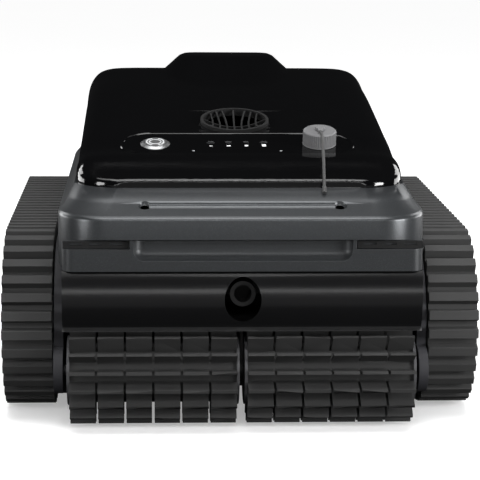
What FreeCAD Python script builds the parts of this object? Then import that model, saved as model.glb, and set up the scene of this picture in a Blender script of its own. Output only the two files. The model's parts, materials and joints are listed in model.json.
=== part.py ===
import FreeCAD, Part
import math
import os
import re
import Sketcher
from FreeCAD import Placement, Rotation, Vector

# A cordless tracked pool cleaner, in millimetres. +Z is up, -Y is the brush end, and the origin is
# on the floor under the middle of the machine's length and width.

# Driving sizes: name, value, meaning.
SIZES = [
    # tracks and wheels
    ("wheelbase", 296, "front axle to rear axle"),
    ("axle_shift", 18.5, "how far the middle of the wheelbase lies behind the origin"),
    ("track_radius", 79, "over the cleats, round a wheel"),
    ("track_inset", 162, "middle of the machine to a belt's inner edge"),
    ("track_width", 43, "width of a belt"),
    ("belt_thickness", 8, "belt without its cleats"),
    ("cleat_count", 70, "cleats round one belt"),
    ("cleat_height", 7.5, "height of a cleat"),
    ("cleat_land", 7, "length of a cleat's flat top"),
    ("cleat_flank", 1.6, "run of a cleat's sloped side"),
    ("guide_width", 8, "width of the rib inside a belt"),
    ("guide_height", 4, "height of the rib inside a belt"),
    ("running_gap", 0.4, "clearance between a belt and its wheels"),
    ("shaft_gap", 0.05, "radial clearance of a shaft in its bore"),
    ("wheel_width", 39, "width of a wheel"),
    ("rim_depth", 10, "radial thickness of a rim"),
    ("web_thickness", 6, "thickness of a wheel's web"),
    ("hub_radius", 16, "radius of a wheel's hub"),
    ("axle_radius", 6, "radius of an axle"),
    ("lightening_radius", 10, "radius of the holes in a web"),
    ("lightening_circle", 35, "radius of the circle those holes lie on"),
    # side plates and gears
    ("plate_thickness", 8, "thickness of a side plate"),
    ("plate_gap", 1.5, "gap between a side plate and its belt"),
    ("plate_radius", 70.5, "radius of a side plate's round ends"),
    ("lobe_radius", 20, "radius of a side plate's ear round the brush axle"),
    ("plate_skin", 1.6, "wall left outside the gears"),
    ("cover_thickness", 1.2, "thickness of a gear cover"),
    ("gear_module", 1.5, "module of every gear"),
    ("drive_teeth", 42, "teeth on the gear of the front axle"),
    ("idler_teeth", 21, "teeth on the idler"),
    ("brush_teeth", 20, "teeth on the gear of a brush"),
    ("gear_width", 4, "face width of the gears"),
    ("gear_room", 1.3, "clearance round a gear's tips"),
    ("pin_radius", 4, "radius of the idler's pin"),
    # brushes
    ("brush_radius", 46, "over the blades"),
    ("brush_sleeve_radius", 28, "rubber sleeve under the blades"),
    ("brush_tube_radius", 24, "plastic roller under the sleeve"),
    ("brush_axle_radius", 4, "radius of a brush's axle"),
    ("flange_radius", 30, "radius of a roller's end flange"),
    ("flange_thickness", 2.4, "thickness of an end flange"),
    ("brush_side_gap", 3.7, "clearance between a brush and its side plate"),
    ("brush_start", 2.2, "middle of the machine to a brush's inner face"),
    ("blade_rows", 18, "rows of blades round a brush"),
    ("blade_sections", 6, "sections along a brush"),
    ("blade_thickness", 2.6, "thickness of a blade"),
    ("blade_gap", 2.2, "gap between two sections"),
    ("hanger_thickness", 3, "thickness of the bracket between the brushes"),
    # front cover
    ("side_gap", 0.5, "clearance of the cover, skirt and tray between the side plates"),
    ("cover_radius", 60, "radius of the cover's bulge"),
    ("cover_wall", 2.8, "wall of the front cover"),
    ("cover_bottom", 87, "height of its lower edge"),
    ("brush_room", 2.6, "clearance between the blades and the cover's arch"),
    ("port_width", 31, "width of the jet port"),
    ("port_height", 39, "height of the jet port"),
    ("port_level", 114, "height of the port's middle"),
    ("jet_radius", 11, "radius of the jet nozzle"),
    # frame and skirt
    ("frame_side_gap", 5.5, "gap between the bumper frame and a belt"),
    ("nose_reach", 32.5, "brush axle to the frame's front face"),
    ("tail_reach", 40.5, "rear axle to the frame's rear face"),
    ("frame_wall", 4, "wall of the frame"),
    ("frame_front_radius", 45, "corner radius of the frame, front, seen from above"),
    ("frame_rear_radius", 45, "corner radius of the frame, rear"),
    ("skirt_bottom", 138.5, "lower edge of the skirt"),
    ("skirt_depth", 46, "depth of the skirt, front to back"),
    ("skirt_radius", 10, "corner radius of the skirt, seen from above"),
    ("side_bottom", 152, "lower edge of the frame beside the tracks"),
    ("band_bottom", 165.7, "lower edge of the frame's front band"),
    ("band_top", 181, "upper edge of the band"),
    ("band_drop", 0.2, "how much the band's lower edge drops for each mm towards the rear"),
    ("groove_back", 19.8, "nose to the middle of the ledge's groove"),
    ("groove_rise", 9.5, "top of the band to the ledge beside the groove"),
    ("groove_depth", 2.2, "depth of the ledge's groove"),
    ("dimple_growth", 1.2, "how much larger the groove's two end dimples are"),
    ("frame_top", 202.5, "height of the frame's rim"),
    ("ledge_front", 44, "depth of the sloping ledge, front"),
    ("ledge_side", 12.5, "depth of the ledge, sides and rear"),
    ("groove_length", 176, "length of the groove in the front ledge"),
    ("groove_radius", 5.5, "radius of that groove"),
    ("scoop_length", 166, "length of the skirt's finger scoop without its ends"),
    ("scoop_radius", 9.2, "radius of the finger scoop"),
    ("scoop_bottom", 147.3, "height of the finger scoop's lower edge"),
    ("scoop_ahead", 0.9, "how far the scoop's axis lies ahead of the nose"),
    ("strip_step", 5, "depth of the recess for the vent strips"),
    ("strip_bottom", 157.5, "lower edge of the vent strips"),
    ("strip_start", 95, "middle of the machine to a vent strip"),
    # top shell
    ("shell_gap", 1.5, "how far the glossy top's foot stands in from the rim"),
    ("shell_wall", 3, "wall of the top shell"),
    ("seal_thickness", 2.2, "thickness of the lid's seal"),
    ("shell_square", 14, "how square the shell's cross-section is, an exponent"),
    ("shell_shoulder", 0.28, "how soon the shell's shoulder falls, an exponent"),
    ("shell_corner_front", 40, "corner radius of the shell, front"),
    ("shell_corner_rear", 34, "corner radius of the shell, rear"),
    ("deck_length", 172, "front edge of the shell to the lid's seam"),
    ("seam_gap", 0.8, "gap at the seam"),
    ("panel_back", 79, "front edge of the shell to the panel's middle"),
    ("panel_level", 230.1, "height of the panel's middle"),
    ("panel_tilt", 14.3, "tilt of the panel, degrees"),
    ("panel_length", 203, "width of the pill-shaped panel"),
    ("panel_depth", 49, "depth of the panel"),
    ("panel_thickness", 2.5, "thickness of the panel"),
    ("panel_rim", 3, "rim of the mound round the panel"),
    ("mound_skirt", 10, "how far the mound's foot spreads"),
    ("mound_height", 14, "height of the mound's side"),
    ("control_spread", 73.5, "middle to the button, and middle to the cap"),
    ("button_radius", 9.6, "radius of the power button"),
    ("button_travel", 1.0, "travel of the power button"),
    ("bezel_radius", 13.3, "radius of the ring round the button"),
    ("cap_radius", 15, "radius of the charging port's cap"),
    ("cap_height", 13.5, "height of that cap"),
    ("cap_wall", 2.2, "wall of the cap"),
    ("cap_thread", 1.4, "depth of the cap's thread"),
    ("thread_gap", 0.4, "radial clearance of the thread"),
    ("neck_height", 7, "threaded neck over the panel"),
    ("neck_wall", 3.5, "wall of the neck"),
    ("swivel_radius", 2, "radius of the tether's swivel in the cap"),
    ("fitting_gap", 0.2, "clearance of what is let into the panel and the deck"),
    ("cap_lift", 7.5, "travel of the cap off its thread"),
    ("grille_back", 139, "front edge of the shell to the grille's middle"),
    ("grille_level", 242.6, "height of the grille's middle"),
    ("grille_tilt", 12.2, "tilt of the grille, degrees"),
    ("grille_radius", 31.5, "radius of the outlet grille"),
    ("grille_bars", 7, "bars across the grille"),
    ("grille_pitch", 6.6, "spacing of those bars"),
    ("grille_bar_curve", 80, "radius that the bars are bent to, seen from above"),
    ("grille_bowl", 8, "how far the grille dips at its middle"),
    # lid's hump and hinge
    ("hump_half_foot", 80, "half the width of the hump where it leaves the lid's inside"),
    ("hump_half_top", 43.5, "half the width of the hump's top"),
    ("hump_front", 146, "rear edge of the shell to the hump's foot, front"),
    ("hump_crest", 66, "rear edge of the shell to the hump's crest"),
    ("hump_top", 289, "height of the hump"),
    ("hinge_back", 7.5, "rear edge of the shell to the hinge"),
    ("hinge_level", 207.5, "height of the hinge"),
    ("hinge_pin_radius", 2, "radius of a hinge pin"),
    ("knuckle_radius", 5, "radius of a hinge knuckle"),
    # inside
    ("tray_bottom", 16, "underside of the tray"),
    ("tray_top", 150, "rim of the tray"),
    ("tray_wall", 3, "wall of the tray"),
    ("inlet_spread", 62, "middle to the middle of an inlet"),
    ("inlet_width", 86, "width of a suction inlet"),
    ("inlet_depth", 30, "depth of a suction inlet"),
    ("inlet_back", 96, "origin to the middle of the inlets"),
    ("flap_thickness", 2.4, "thickness of a suction flap"),
    ("box_half_width", 92, "half the width of the electronics box"),
    ("box_front", -88, "front of the electronics box"),
    ("box_depth", 84, "depth of the electronics box"),
    ("box_height", 84, "height of the electronics box"),
    ("box_wall", 3, "wall of the electronics box"),
    ("box_floor", 22, "underside of the electronics box"),
    ("duct_radius", 30, "outside of the outlet duct"),
    ("duct_wall", 2, "wall of the outlet duct"),
    ("motor_radius", 23, "pump motor"),
    ("motor_height", 44, "height of the pump motor"),
    ("impeller_radius", 26.5, "radius of the impeller"),
    ("basket_half_width", 112, "half the width of the filter basket"),
    ("basket_front", 16, "front of the basket"),
    ("basket_depth", 156, "depth of the basket"),
    ("basket_floor", 56, "underside of the basket"),
    ("basket_height", 150, "height of the basket"),
    ("basket_post", 6, "thickness of the basket's frame"),
]

# Places worked out from the sizes: name, formula.
PLACES = [
    ("front_axle", "axle_shift - wheelbase / 2"),
    ("rear_axle", "axle_shift + wheelbase / 2"),
    ("belt_radius", "track_radius - cleat_height - belt_thickness"),
    ("rim_radius", "track_radius - cleat_height - belt_thickness - running_gap"),
    ("drive_pitch", "gear_module * drive_teeth / 2"),
    ("idler_pitch", "gear_module * idler_teeth / 2"),
    ("brush_pitch", "gear_module * brush_teeth / 2"),
    ("gear_span", "gear_module * (drive_teeth / 2 + idler_teeth + brush_teeth / 2)"),
    ("brush_drop", "track_radius - brush_radius"),
    ("brush_ahead", "sqrt(gear_span ^ 2 - (track_radius - brush_radius) ^ 2)"),
    ("brush_axis", "front_axle - brush_ahead"),
    ("idler_axis", "front_axle - brush_ahead * (drive_pitch + idler_pitch) / gear_span"),
    ("idler_level", "track_radius - brush_drop * (drive_pitch + idler_pitch) / gear_span"),
    ("plate_out", "track_inset - plate_gap"),
    ("plate_in", "track_inset - plate_gap - plate_thickness"),
    ("gear_in", "plate_out - plate_skin - 0.5 - gear_width"),
    ("brush_end", "plate_in - brush_side_gap"),
    ("cover_half_width", "plate_in - side_gap"),
    ("tray_half_width", "plate_in - side_gap"),
    ("frame_half_width", "track_inset - frame_side_gap"),
    ("shell_half_width", "frame_half_width - ledge_side - shell_gap"),
    ("nose", "brush_axis - nose_reach"),
    ("tail", "rear_axle + tail_reach"),
    ("shell_front", "nose + ledge_front"),
    ("shell_rear", "tail - ledge_side"),
    ("seam", "shell_front + deck_length"),
    ("panel_middle", "shell_front + panel_back"),
    ("grille_middle", "shell_front + grille_back"),
    ("hinge_axis", "shell_rear + hinge_back"),
    ("cap_bore", "cap_radius - cap_wall - cap_thread"),
    ("neck_radius", "cap_bore - thread_gap"),
    ("cap_roof", "neck_height + 2.6"),
    ("arch_radius", "brush_radius + brush_room"),
]

SIZE_NAMES = {name for name, value, meaning in SIZES}
PLACE_NAMES = {name for name, formula in PLACES}

doc = FreeCAD.newDocument("pool_cleaner")
NODES = []


# ---------------------------------------------------------------- sheets and expressions

def in_sheet(text):
    """Point each size or place named in a formula at its sheet."""
    def sheet_of(match):
        word = match.group(0)
        if word in SIZE_NAMES:
            return "dims." + word
        return "places." + word if word in PLACE_NAMES else word
    return re.sub(r"[a-z][a-z_]*", sheet_of, text)


def fill_sheets():
    """Write the driving sizes and the places worked out from them."""
    dims = doc.addObject("Spreadsheet::Sheet", "dims")
    for row, (name, value, meaning) in enumerate(SIZES, start=1):
        dims.set(f"A{row}", meaning)
        dims.set(f"B{row}", str(value))
        dims.setAlias(f"B{row}", name)
    doc.recompute()
    places = doc.addObject("Spreadsheet::Sheet", "places")
    for row, (name, formula) in enumerate(PLACES, start=1):
        places.set(f"B{row}", "=" + in_sheet(formula).replace("places.", ""))
        places.setAlias(f"B{row}", name)
    doc.recompute()
    return dims, places


DIMS, PLACED = fill_sheets()


def size(name):
    """A size or place, read from its sheet."""
    return float((DIMS if name in SIZE_NAMES else PLACED).get(name))


def place(thing, spot, axis=(0, 0, 1), angle=0):
    """Bind an object's position to the sheets, after an optional turn."""
    thing.Placement = Placement(Vector(0, 0, 0), Rotation(Vector(*axis), angle))
    for letter, text in zip("xyz", spot):
        thing.setExpression(f"Placement.Base.{letter}", in_sheet(str(text)))
    return thing


# ---------------------------------------------------------------- primitives and booleans

def box(label, corner, sides):
    """A box from its lowest corner and its three sides."""
    thing = doc.addObject("Part::Box", label)
    for name, text in zip(("Length", "Width", "Height"), sides):
        thing.setExpression(name, in_sheet(str(text)))
    return place(thing, corner)


TURNS = {"X": ((0, 1, 0), 90), "Y": ((1, 0, 0), -90), "Z": ((0, 0, 1), 0)}


def cylinder(label, start, radius, length, along="X"):
    """A cylinder from the middle of its first end, along one axis."""
    thing = doc.addObject("Part::Cylinder", label)
    thing.setExpression("Radius", in_sheet(str(radius)))
    thing.setExpression("Height", in_sheet(str(length)))
    axis, angle = TURNS[along]
    return place(thing, start, axis, angle)


def fuse(label, *things):
    """One solid from several."""
    whole = doc.addObject("Part::MultiFuse", label)
    whole.Shapes = list(things)
    return whole


def cut(label, base, *tools):
    """A solid with others taken out of it."""
    whole = doc.addObject("Part::Cut", label)
    whole.Base = base
    whole.Tool = tools[0] if len(tools) == 1 else fuse(label + "_tools", *tools)
    return whole


def common(label, *things):
    """What several solids share."""
    whole = doc.addObject("Part::MultiCommon", label)
    whole.Shapes = list(things)
    return whole


def together(label, *things):
    """Separate solids kept in one piece's file."""
    whole = doc.addObject("Part::Compound", label)
    whole.Links = list(things)
    return whole


def mirrored(label, thing):
    """The same piece on the other side of the machine."""
    copy = doc.addObject("Part::Mirroring", label)
    copy.Source = thing
    copy.Normal = Vector(1, 0, 0)
    return copy


def solid(label, shape):
    """A piece whose shape was made with Part's own functions."""
    thing = doc.addObject("Part::Feature", label)
    thing.Shape = shape
    return thing


def node(name, thing):
    """Make an object the sub-part of that name."""
    thing.Label = name
    NODES.append(thing)
    return thing


# ---------------------------------------------------------------- sketches

def sketch_outline(body, plane, points, label):
    """A closed sketch of straight lines whose corners are bound to the sheets."""
    sketch = body.newObject("Sketcher::SketchObject", label)
    origin = [item for item in body.Origin.OriginFeatures if item.Role == plane][0]
    sketch.AttachmentSupport = [(origin, "")]
    sketch.MapMode = "FlatFace"
    count = len(points)
    rough = [Vector(50 * math.cos(2 * math.pi * i / count), 50 * math.sin(2 * math.pi * i / count), 0)
             for i in range(count)]
    lines = [Part.LineSegment(rough[i], rough[(i + 1) % count]) for i in range(count)]
    sketch.addGeometry(lines, False)
    rules = [Sketcher.Constraint("Coincident", i, 2, (i + 1) % count, 1) for i in range(count)]
    for i in range(count):
        rules.append(Sketcher.Constraint("DistanceX", -1, 1, i, 1, rough[i].x))
        rules.append(Sketcher.Constraint("DistanceY", -1, 1, i, 1, rough[i].y))
    sketch.addConstraint(rules)
    for i, (across, up) in enumerate(points):
        sketch.setExpression(f"Constraints[{count + 2 * i}]", in_sheet(str(across)))
        sketch.setExpression(f"Constraints[{count + 2 * i + 1}]", in_sheet(str(up)))
    return sketch


def turned(label, points, spot):
    """A body turned about X from a half section of (along, radius) corners."""
    body = doc.addObject("PartDesign::Body", label)
    sketch = sketch_outline(body, "XY_Plane", points, label + "_section")
    turn = body.newObject("PartDesign::Revolution", label + "_turn")
    turn.Profile = sketch
    turn.ReferenceAxis = (sketch, ["H_Axis"])
    turn.Angle = 360
    body.Tip = turn
    return place(body, spot)


def side_prism(label, points, width):
    """A body from its side view, (Y, Z) corners, padded evenly to both sides of the middle."""
    body = doc.addObject("PartDesign::Body", label)
    sketch = sketch_outline(body, "YZ_Plane", points, label + "_side")
    pad = body.newObject("PartDesign::Pad", label + "_pad")
    pad.Profile = sketch
    pad.SideType = "Symmetric"
    pad.setExpression("Length", in_sheet(str(width)))
    body.Tip = pad
    return body


# ---------------------------------------------------------------- wires

def rounded_wire(half_width, front, back, front_radius, back_radius, level):
    """A rounded rectangle seen from above, at one height."""
    bend = math.sqrt(0.5)

    def corner(side, end, radius, toward):
        middle = Vector(side * (half_width - radius), end + toward * radius, level)
        flank = middle + Vector(side * radius, 0, 0)
        bow = middle + Vector(side * radius * bend, -toward * radius * bend, 0)
        face = middle + Vector(0, -toward * radius, 0)
        return face, bow, flank

    front_left = corner(-1, front, front_radius, 1)
    front_right = corner(1, front, front_radius, 1)
    back_right = corner(1, back, back_radius, -1)
    back_left = corner(-1, back, back_radius, -1)
    edges = [
        Part.LineSegment(front_left[0], front_right[0]),
        Part.Arc(front_right[0], front_right[1], front_right[2]),
        Part.LineSegment(front_right[2], back_right[2]),
        Part.Arc(back_right[2], back_right[1], back_right[0]),
        Part.LineSegment(back_right[0], back_left[0]),
        Part.Arc(back_left[0], back_left[1], back_left[2]),
        Part.LineSegment(back_left[2], front_left[2]),
        Part.Arc(front_left[2], front_left[1], front_left[0]),
    ]
    return Part.Wire([edge.toShape() for edge in edges])


def frame_wire(level, inset=0.0):
    """The bumper frame's outline, at one height."""
    return rounded_wire(size("frame_half_width") - inset, size("nose") + inset, size("tail") - inset,
                        size("frame_front_radius") - inset, size("frame_rear_radius") - inset, level)


def rim_wire(level, inset=0.0):
    """The rim that the top shell stands on, at one height."""
    side = size("ledge_side")
    return rounded_wire(size("frame_half_width") - side - inset, size("shell_front") + inset,
                        size("shell_rear") - inset, size("shell_corner_front") - inset,
                        size("shell_corner_rear") - inset, level)


def ledge_wire(share, level):
    """An outline part of the way from the frame's edge to the shell's foot."""
    def between(first, last):
        return first + (last - first) * share

    side = size("ledge_side")
    return rounded_wire(
        between(size("frame_half_width"), size("frame_half_width") - side),
        between(size("nose"), size("shell_front")), between(size("tail"), size("shell_rear")),
        between(size("frame_front_radius"), size("shell_corner_front")),
        between(size("frame_rear_radius"), size("shell_corner_rear")), level)


def prism_between(wire, height):
    """A prism standing on a flat wire."""
    return Part.Face(wire).extrude(Vector(0, 0, height))


def stadium_face(radius, front, back, level, at_x):
    """A stadium in side view, at one place across the machine."""
    top_front = Vector(at_x, front, level + radius)
    top_back = Vector(at_x, back, level + radius)
    low_back = Vector(at_x, back, level - radius)
    low_front = Vector(at_x, front, level - radius)
    edges = [
        Part.LineSegment(top_front, top_back),
        Part.Arc(top_back, Vector(at_x, back + radius, level), low_back),
        Part.LineSegment(low_back, low_front),
        Part.Arc(low_front, Vector(at_x, front - radius, level), top_front),
    ]
    return Part.Wire([edge.toShape() for edge in edges])


def closed_polygon(points):
    """A wire of straight edges through points, closed."""
    return Part.makePolygon(points + [points[0]])


# ---------------------------------------------------------------- tracks, wheels and gears

def track_point(run, rise, at_x):
    """A point at a distance round the belt, so far above its carcass."""
    radius = size("track_radius") - size("cleat_height")
    level = size("track_radius")
    straight = size("wheelbase")
    half_turn = math.pi * radius
    run = run % (2 * straight + 2 * half_turn)
    reach = radius + rise
    if run < straight:
        return Vector(at_x, size("front_axle") + run, level - reach)
    run -= straight
    if run < half_turn:
        angle = run / radius - math.pi / 2
        return Vector(at_x, size("rear_axle") + reach * math.cos(angle), level + reach * math.sin(angle))
    run -= half_turn
    if run < straight:
        return Vector(at_x, size("rear_axle") - run, level + reach)
    run -= straight
    angle = run / radius + math.pi / 2
    return Vector(at_x, size("front_axle") + reach * math.cos(angle), level + reach * math.sin(angle))


def belt_shape():
    """A cleated belt with a guide rib inside, on the left."""
    outer_x = -size("track_inset") - size("track_width")
    length = 2 * size("wheelbase") + 2 * math.pi * (size("track_radius") - size("cleat_height"))
    pitch = length / size("cleat_count")
    half_land = size("cleat_land") / 2
    half_foot = half_land + size("cleat_flank")
    outline = []
    for index in range(int(size("cleat_count"))):
        middle = (index + 0.5) * pitch
        for run, rise in ((-half_foot, 0), (-half_land, 1), (half_land, 1), (half_foot, 0)):
            outline.append(track_point(middle + run, rise * size("cleat_height"), outer_x))
    inside = stadium_face(size("belt_radius"), size("front_axle"), size("rear_axle"),
                          size("track_radius"), outer_x)
    ring = Part.Face([closed_polygon(outline), inside])
    carcass = ring.extrude(Vector(size("track_width"), 0, 0))
    rib_x = outer_x + (size("track_width") - size("guide_width")) / 2
    rib_outer = stadium_face(size("belt_radius") + 1, size("front_axle"), size("rear_axle"),
                             size("track_radius"), rib_x)
    rib_inner = stadium_face(size("belt_radius") - size("guide_height"), size("front_axle"),
                             size("rear_axle"), size("track_radius"), rib_x)
    rib = Part.Face([rib_outer, rib_inner]).extrude(Vector(size("guide_width"), 0, 0))
    return carcass.fuse(rib)


def gear_wire(teeth, module, axis, level, tooth_angle, at_x):
    """An involute gear's outline with one tooth centred on an angle."""
    pitch_radius = module * teeth / 2
    pressure = math.radians(20)
    base_radius = pitch_radius * math.cos(pressure)
    tip_radius = pitch_radius + 0.95 * module
    root_radius = pitch_radius - 1.25 * module
    backlash = 0.12
    half_tooth = math.pi / (2 * teeth) - backlash / pitch_radius + math.tan(pressure) - pressure

    def half_angle(radius):
        if radius <= base_radius:
            return half_tooth
        lean = math.acos(base_radius / radius)
        return half_tooth - (math.tan(lean) - lean)

    start = max(base_radius, root_radius)
    radii = [start + (tip_radius - start) * share for share in (0, 0.3, 0.6, 1)]
    if root_radius < base_radius:
        radii.insert(0, root_radius)
    points = []
    for index in range(int(teeth)):
        middle = tooth_angle + 2 * math.pi * index / teeth
        flank = [(radius, middle - half_angle(radius)) for radius in radii]
        other = [(radius, middle + half_angle(radius)) for radius in reversed(radii)]
        for radius, angle in flank + other:
            points.append(Vector(at_x, axis + radius * math.cos(angle), level + radius * math.sin(angle)))
    return closed_polygon(points)


def gear_shape(teeth, axis, level, tooth_angle, bore):
    """A spur gear on the left, with its bore."""
    left = -size("gear_in") - size("gear_width")
    outline = gear_wire(size(teeth), size("gear_module"), axis, level, tooth_angle, left)
    middle = Vector(left - 1, axis, level)
    hole = Part.makeCylinder(bore, size("gear_width") + 2, middle, Vector(1, 0, 0))
    return Part.Face(outline).extrude(Vector(size("gear_width"), 0, 0)).cut(hole)


def make_tracks():
    """Belts, wheels, axles, side plates and the guards inside the belts."""
    belt = node("track_belt_left", solid("belt", belt_shape()))
    node("track_belt_right", mirrored("belt_right", belt))

    half = "wheel_width / 2"
    hub = "hub_radius"
    inner_rim = "rim_radius - rim_depth"
    groove = "rim_radius - guide_height - 1"
    groove_half = "guide_width / 2 + 0.8"
    for end, bore, axle in (("front", "axle_radius", "front_axle"),
                            ("rear", "axle_radius + shaft_gap", "rear_axle")):
        section = [
            (f"-{half}", bore), (f"-{half}", hub), ("-web_thickness / 2", hub),
            ("-web_thickness / 2", inner_rim), (f"-{half}", inner_rim), (f"-{half}", "rim_radius"),
            (f"-({groove_half})", "rim_radius"), (f"-({groove_half})", groove),
            (groove_half, groove), (groove_half, "rim_radius"), (half, "rim_radius"),
            (half, inner_rim), ("web_thickness / 2", inner_rim), ("web_thickness / 2", hub),
            (half, hub), (half, bore),
        ]
        spot = ("-track_inset - track_width / 2", axle, "track_radius")
        blank = turned(f"{end}_wheel_blank", section, spot)
        holes = []
        for index in range(6):
            angle = 60 * index
            holes.append(cylinder(f"{end}_hole_{index}", (
                "-track_inset - track_width / 2 - web_thickness",
                f"{axle} + lightening_circle * cos({angle})",
                f"track_radius + lightening_circle * sin({angle})"),
                "lightening_radius", "web_thickness * 2"))
        wheel = node(f"{end}_wheel_left", cut(f"{end}_wheel", blank, *holes))
        node(f"{end}_wheel_right", mirrored(f"{end}_wheel_copy", wheel))

    rear = fuse("rear_axle_left",
                cylinder("rear_axle_shaft", ("-track_inset - track_width / 2 - wheel_width / 2 - 1.5",
                                             "rear_axle", "track_radius"),
                         "axle_radius", "track_width / 2 + wheel_width / 2 + 1.5 + track_inset - plate_in"),
                cylinder("rear_axle_head", ("-track_inset - track_width / 2 - wheel_width / 2 - 3.5",
                                            "rear_axle", "track_radius"), "axle_radius + 3", 3))
    node("rear_axles", together("rear_axle_pair", rear, mirrored("rear_axle_right", rear)))

    guard_room = size("rim_radius") + 3
    level = size("track_radius")
    guard_x = -size("track_inset") - size("track_width") + 3
    shape = stadium_face(size("belt_radius") - size("guide_height") - 3, size("front_axle"),
                         size("rear_axle"), level, guard_x)
    plate = Part.Face(shape).extrude(Vector(4, 0, 0))
    for axle in ("front_axle", "rear_axle"):
        plate = plate.cut(Part.makeCylinder(guard_room, 8, Vector(guard_x - 2, size(axle), level),
                                            Vector(1, 0, 0)))
    middle = (size("front_axle") + size("rear_axle")) / 2
    for reach in (-48, 48):
        post_length = -size("plate_out") - guard_x
        post = Part.makeCylinder(7, post_length, Vector(guard_x, middle + reach, level), Vector(1, 0, 0))
        plate = plate.fuse(post)
    guard = node("track_guard_left", solid("guard", plate))
    node("track_guard_right", mirrored("guard_right", guard))


def gear_pockets(label, extra, start, depth):
    """Round pockets for the three gears of one side."""
    tip = "gear_module * 0.95"
    return [
        cylinder(label + "_drive", (start, "front_axle", "track_radius"),
                 f"drive_pitch + {tip} + {extra}", depth),
        cylinder(label + "_idler", (start, "idler_axis", "idler_level"),
                 f"idler_pitch + {tip} + {extra}", depth),
        cylinder(label + "_brush", (start, "brush_axis", "brush_radius"),
                 f"brush_pitch + {tip} + {extra}", depth),
    ]


def make_side_plates():
    """Side plates with their gear trains and gear covers."""
    outline = stadium_face(size("plate_radius"), size("front_axle"), size("rear_axle"),
                           size("track_radius"), -size("plate_out"))
    slab = solid("plate_slab", Part.Face(outline).extrude(Vector(size("plate_thickness"), 0, 0)))
    ear = cylinder("plate_ear", ("-plate_out", "brush_axis", "brush_radius"), "lobe_radius",
                   "plate_thickness")
    neck = cylinder("plate_neck", ("-plate_out", "idler_axis", "idler_level"), "lobe_radius + 4",
                    "plate_thickness")
    pockets = gear_pockets("gear_pocket", "gear_room", "-plate_out + plate_skin",
                           "plate_thickness")
    seats = gear_pockets("cover_seat", "gear_room + 1.1", "-plate_in - cover_thickness", 5)
    blank = cut("plate_blank", fuse("plate_whole", slab, ear, neck), *pockets, *seats)
    pin = cylinder("idler_pin", ("-plate_out", "idler_axis", "idler_level"), "pin_radius",
                   "plate_thickness")
    bores = [
        cylinder("front_bore", ("-plate_out - 1", "front_axle", "track_radius"),
                 "axle_radius + shaft_gap", "plate_thickness + 2"),
        cylinder("rear_bore", ("-plate_out - 1", "rear_axle", "track_radius"), "axle_radius",
                 "plate_thickness + 2"),
        cylinder("brush_bore", ("-plate_out - 1", "brush_axis", "brush_radius"),
                 "brush_axle_radius + shaft_gap", "plate_thickness + 2"),
    ]
    plate = node("side_plate_left", cut("plate", fuse("plate_pinned", blank, pin), *bores))
    node("side_plate_right", mirrored("plate_right", plate))

    seats = gear_pockets("cover_disc", "gear_room + 0.9", "-plate_in - cover_thickness",
                         "cover_thickness")
    holes = [
        cylinder("cover_front_hole", ("-plate_in - 3", "front_axle", "track_radius"),
                 "axle_radius + 0.4", 5),
        cylinder("cover_idler_hole", ("-plate_in - 3", "idler_axis", "idler_level"), "pin_radius", 5),
        cylinder("cover_brush_hole", ("-plate_in - 3", "brush_axis", "brush_radius"),
                 "brush_axle_radius + 0.4", 5),
    ]
    cover = node("gear_cover_left", cut("gear_cover", fuse("cover_whole", *seats), *holes))
    node("gear_cover_right", mirrored("gear_cover_copy", cover))

    toward_brush = math.atan2(-size("brush_drop"), -size("brush_ahead"))
    away = toward_brush + math.pi
    idler_tooth = away + math.pi / size("idler_teeth")
    brush_tooth = away + math.pi / size("brush_teeth")
    drive = solid("drive_gear_blank", gear_shape("drive_teeth", size("front_axle"),
                                                 size("track_radius"), toward_brush, 4))
    shaft = cylinder("drive_shaft", ("-track_inset - track_width / 2 - wheel_width / 2 - 1.5",
                                     "front_axle", "track_radius"), "axle_radius",
                     "track_width / 2 + wheel_width / 2 + track_inset - 124")
    head = cylinder("drive_shaft_head", ("-track_inset - track_width / 2 - wheel_width / 2 - 3.5",
                                         "front_axle", "track_radius"), "axle_radius + 3", 3)
    gear = node("drive_gear_left", fuse("drive_gear", drive, shaft, head))
    node("drive_gear_right", mirrored("drive_gear_copy", gear))

    idler = node("idler_gear_left", solid("idler", gear_shape(
        "idler_teeth", size("idler_axis"), size("idler_level"), idler_tooth,
        size("pin_radius") + size("shaft_gap"))))
    node("idler_gear_right", mirrored("idler_copy", idler))

    brush_gear = node("brush_gear_left", solid("brush_gear", gear_shape(
        "brush_teeth", size("brush_axis"), size("brush_radius"), brush_tooth,
        size("brush_axle_radius"))))
    node("brush_gear_right", mirrored("brush_gear_copy", brush_gear))


# ---------------------------------------------------------------- brushes

def star_wire(radius, at_x):
    """The outline of a brush sleeve with its rows of blades."""
    foot = size("brush_sleeve_radius")
    rows = int(size("blade_rows"))
    points = []
    for row in range(rows):
        angle = -math.pi / 2 + 2 * math.pi * row / rows
        half = size("blade_thickness") / 2
        out = Vector(0, math.cos(angle), math.sin(angle))
        side = Vector(0, -math.sin(angle), math.cos(angle))
        middle = Vector(at_x, size("brush_axis"), size("brush_radius"))
        root = math.sqrt(foot * foot - half * half)
        tip = math.sqrt(radius * radius - half * half)
        points += [middle + out * root - side * half, middle + out * tip - side * half,
                   middle + out * tip + side * half, middle + out * root + side * half]
    return closed_polygon(points)


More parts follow.
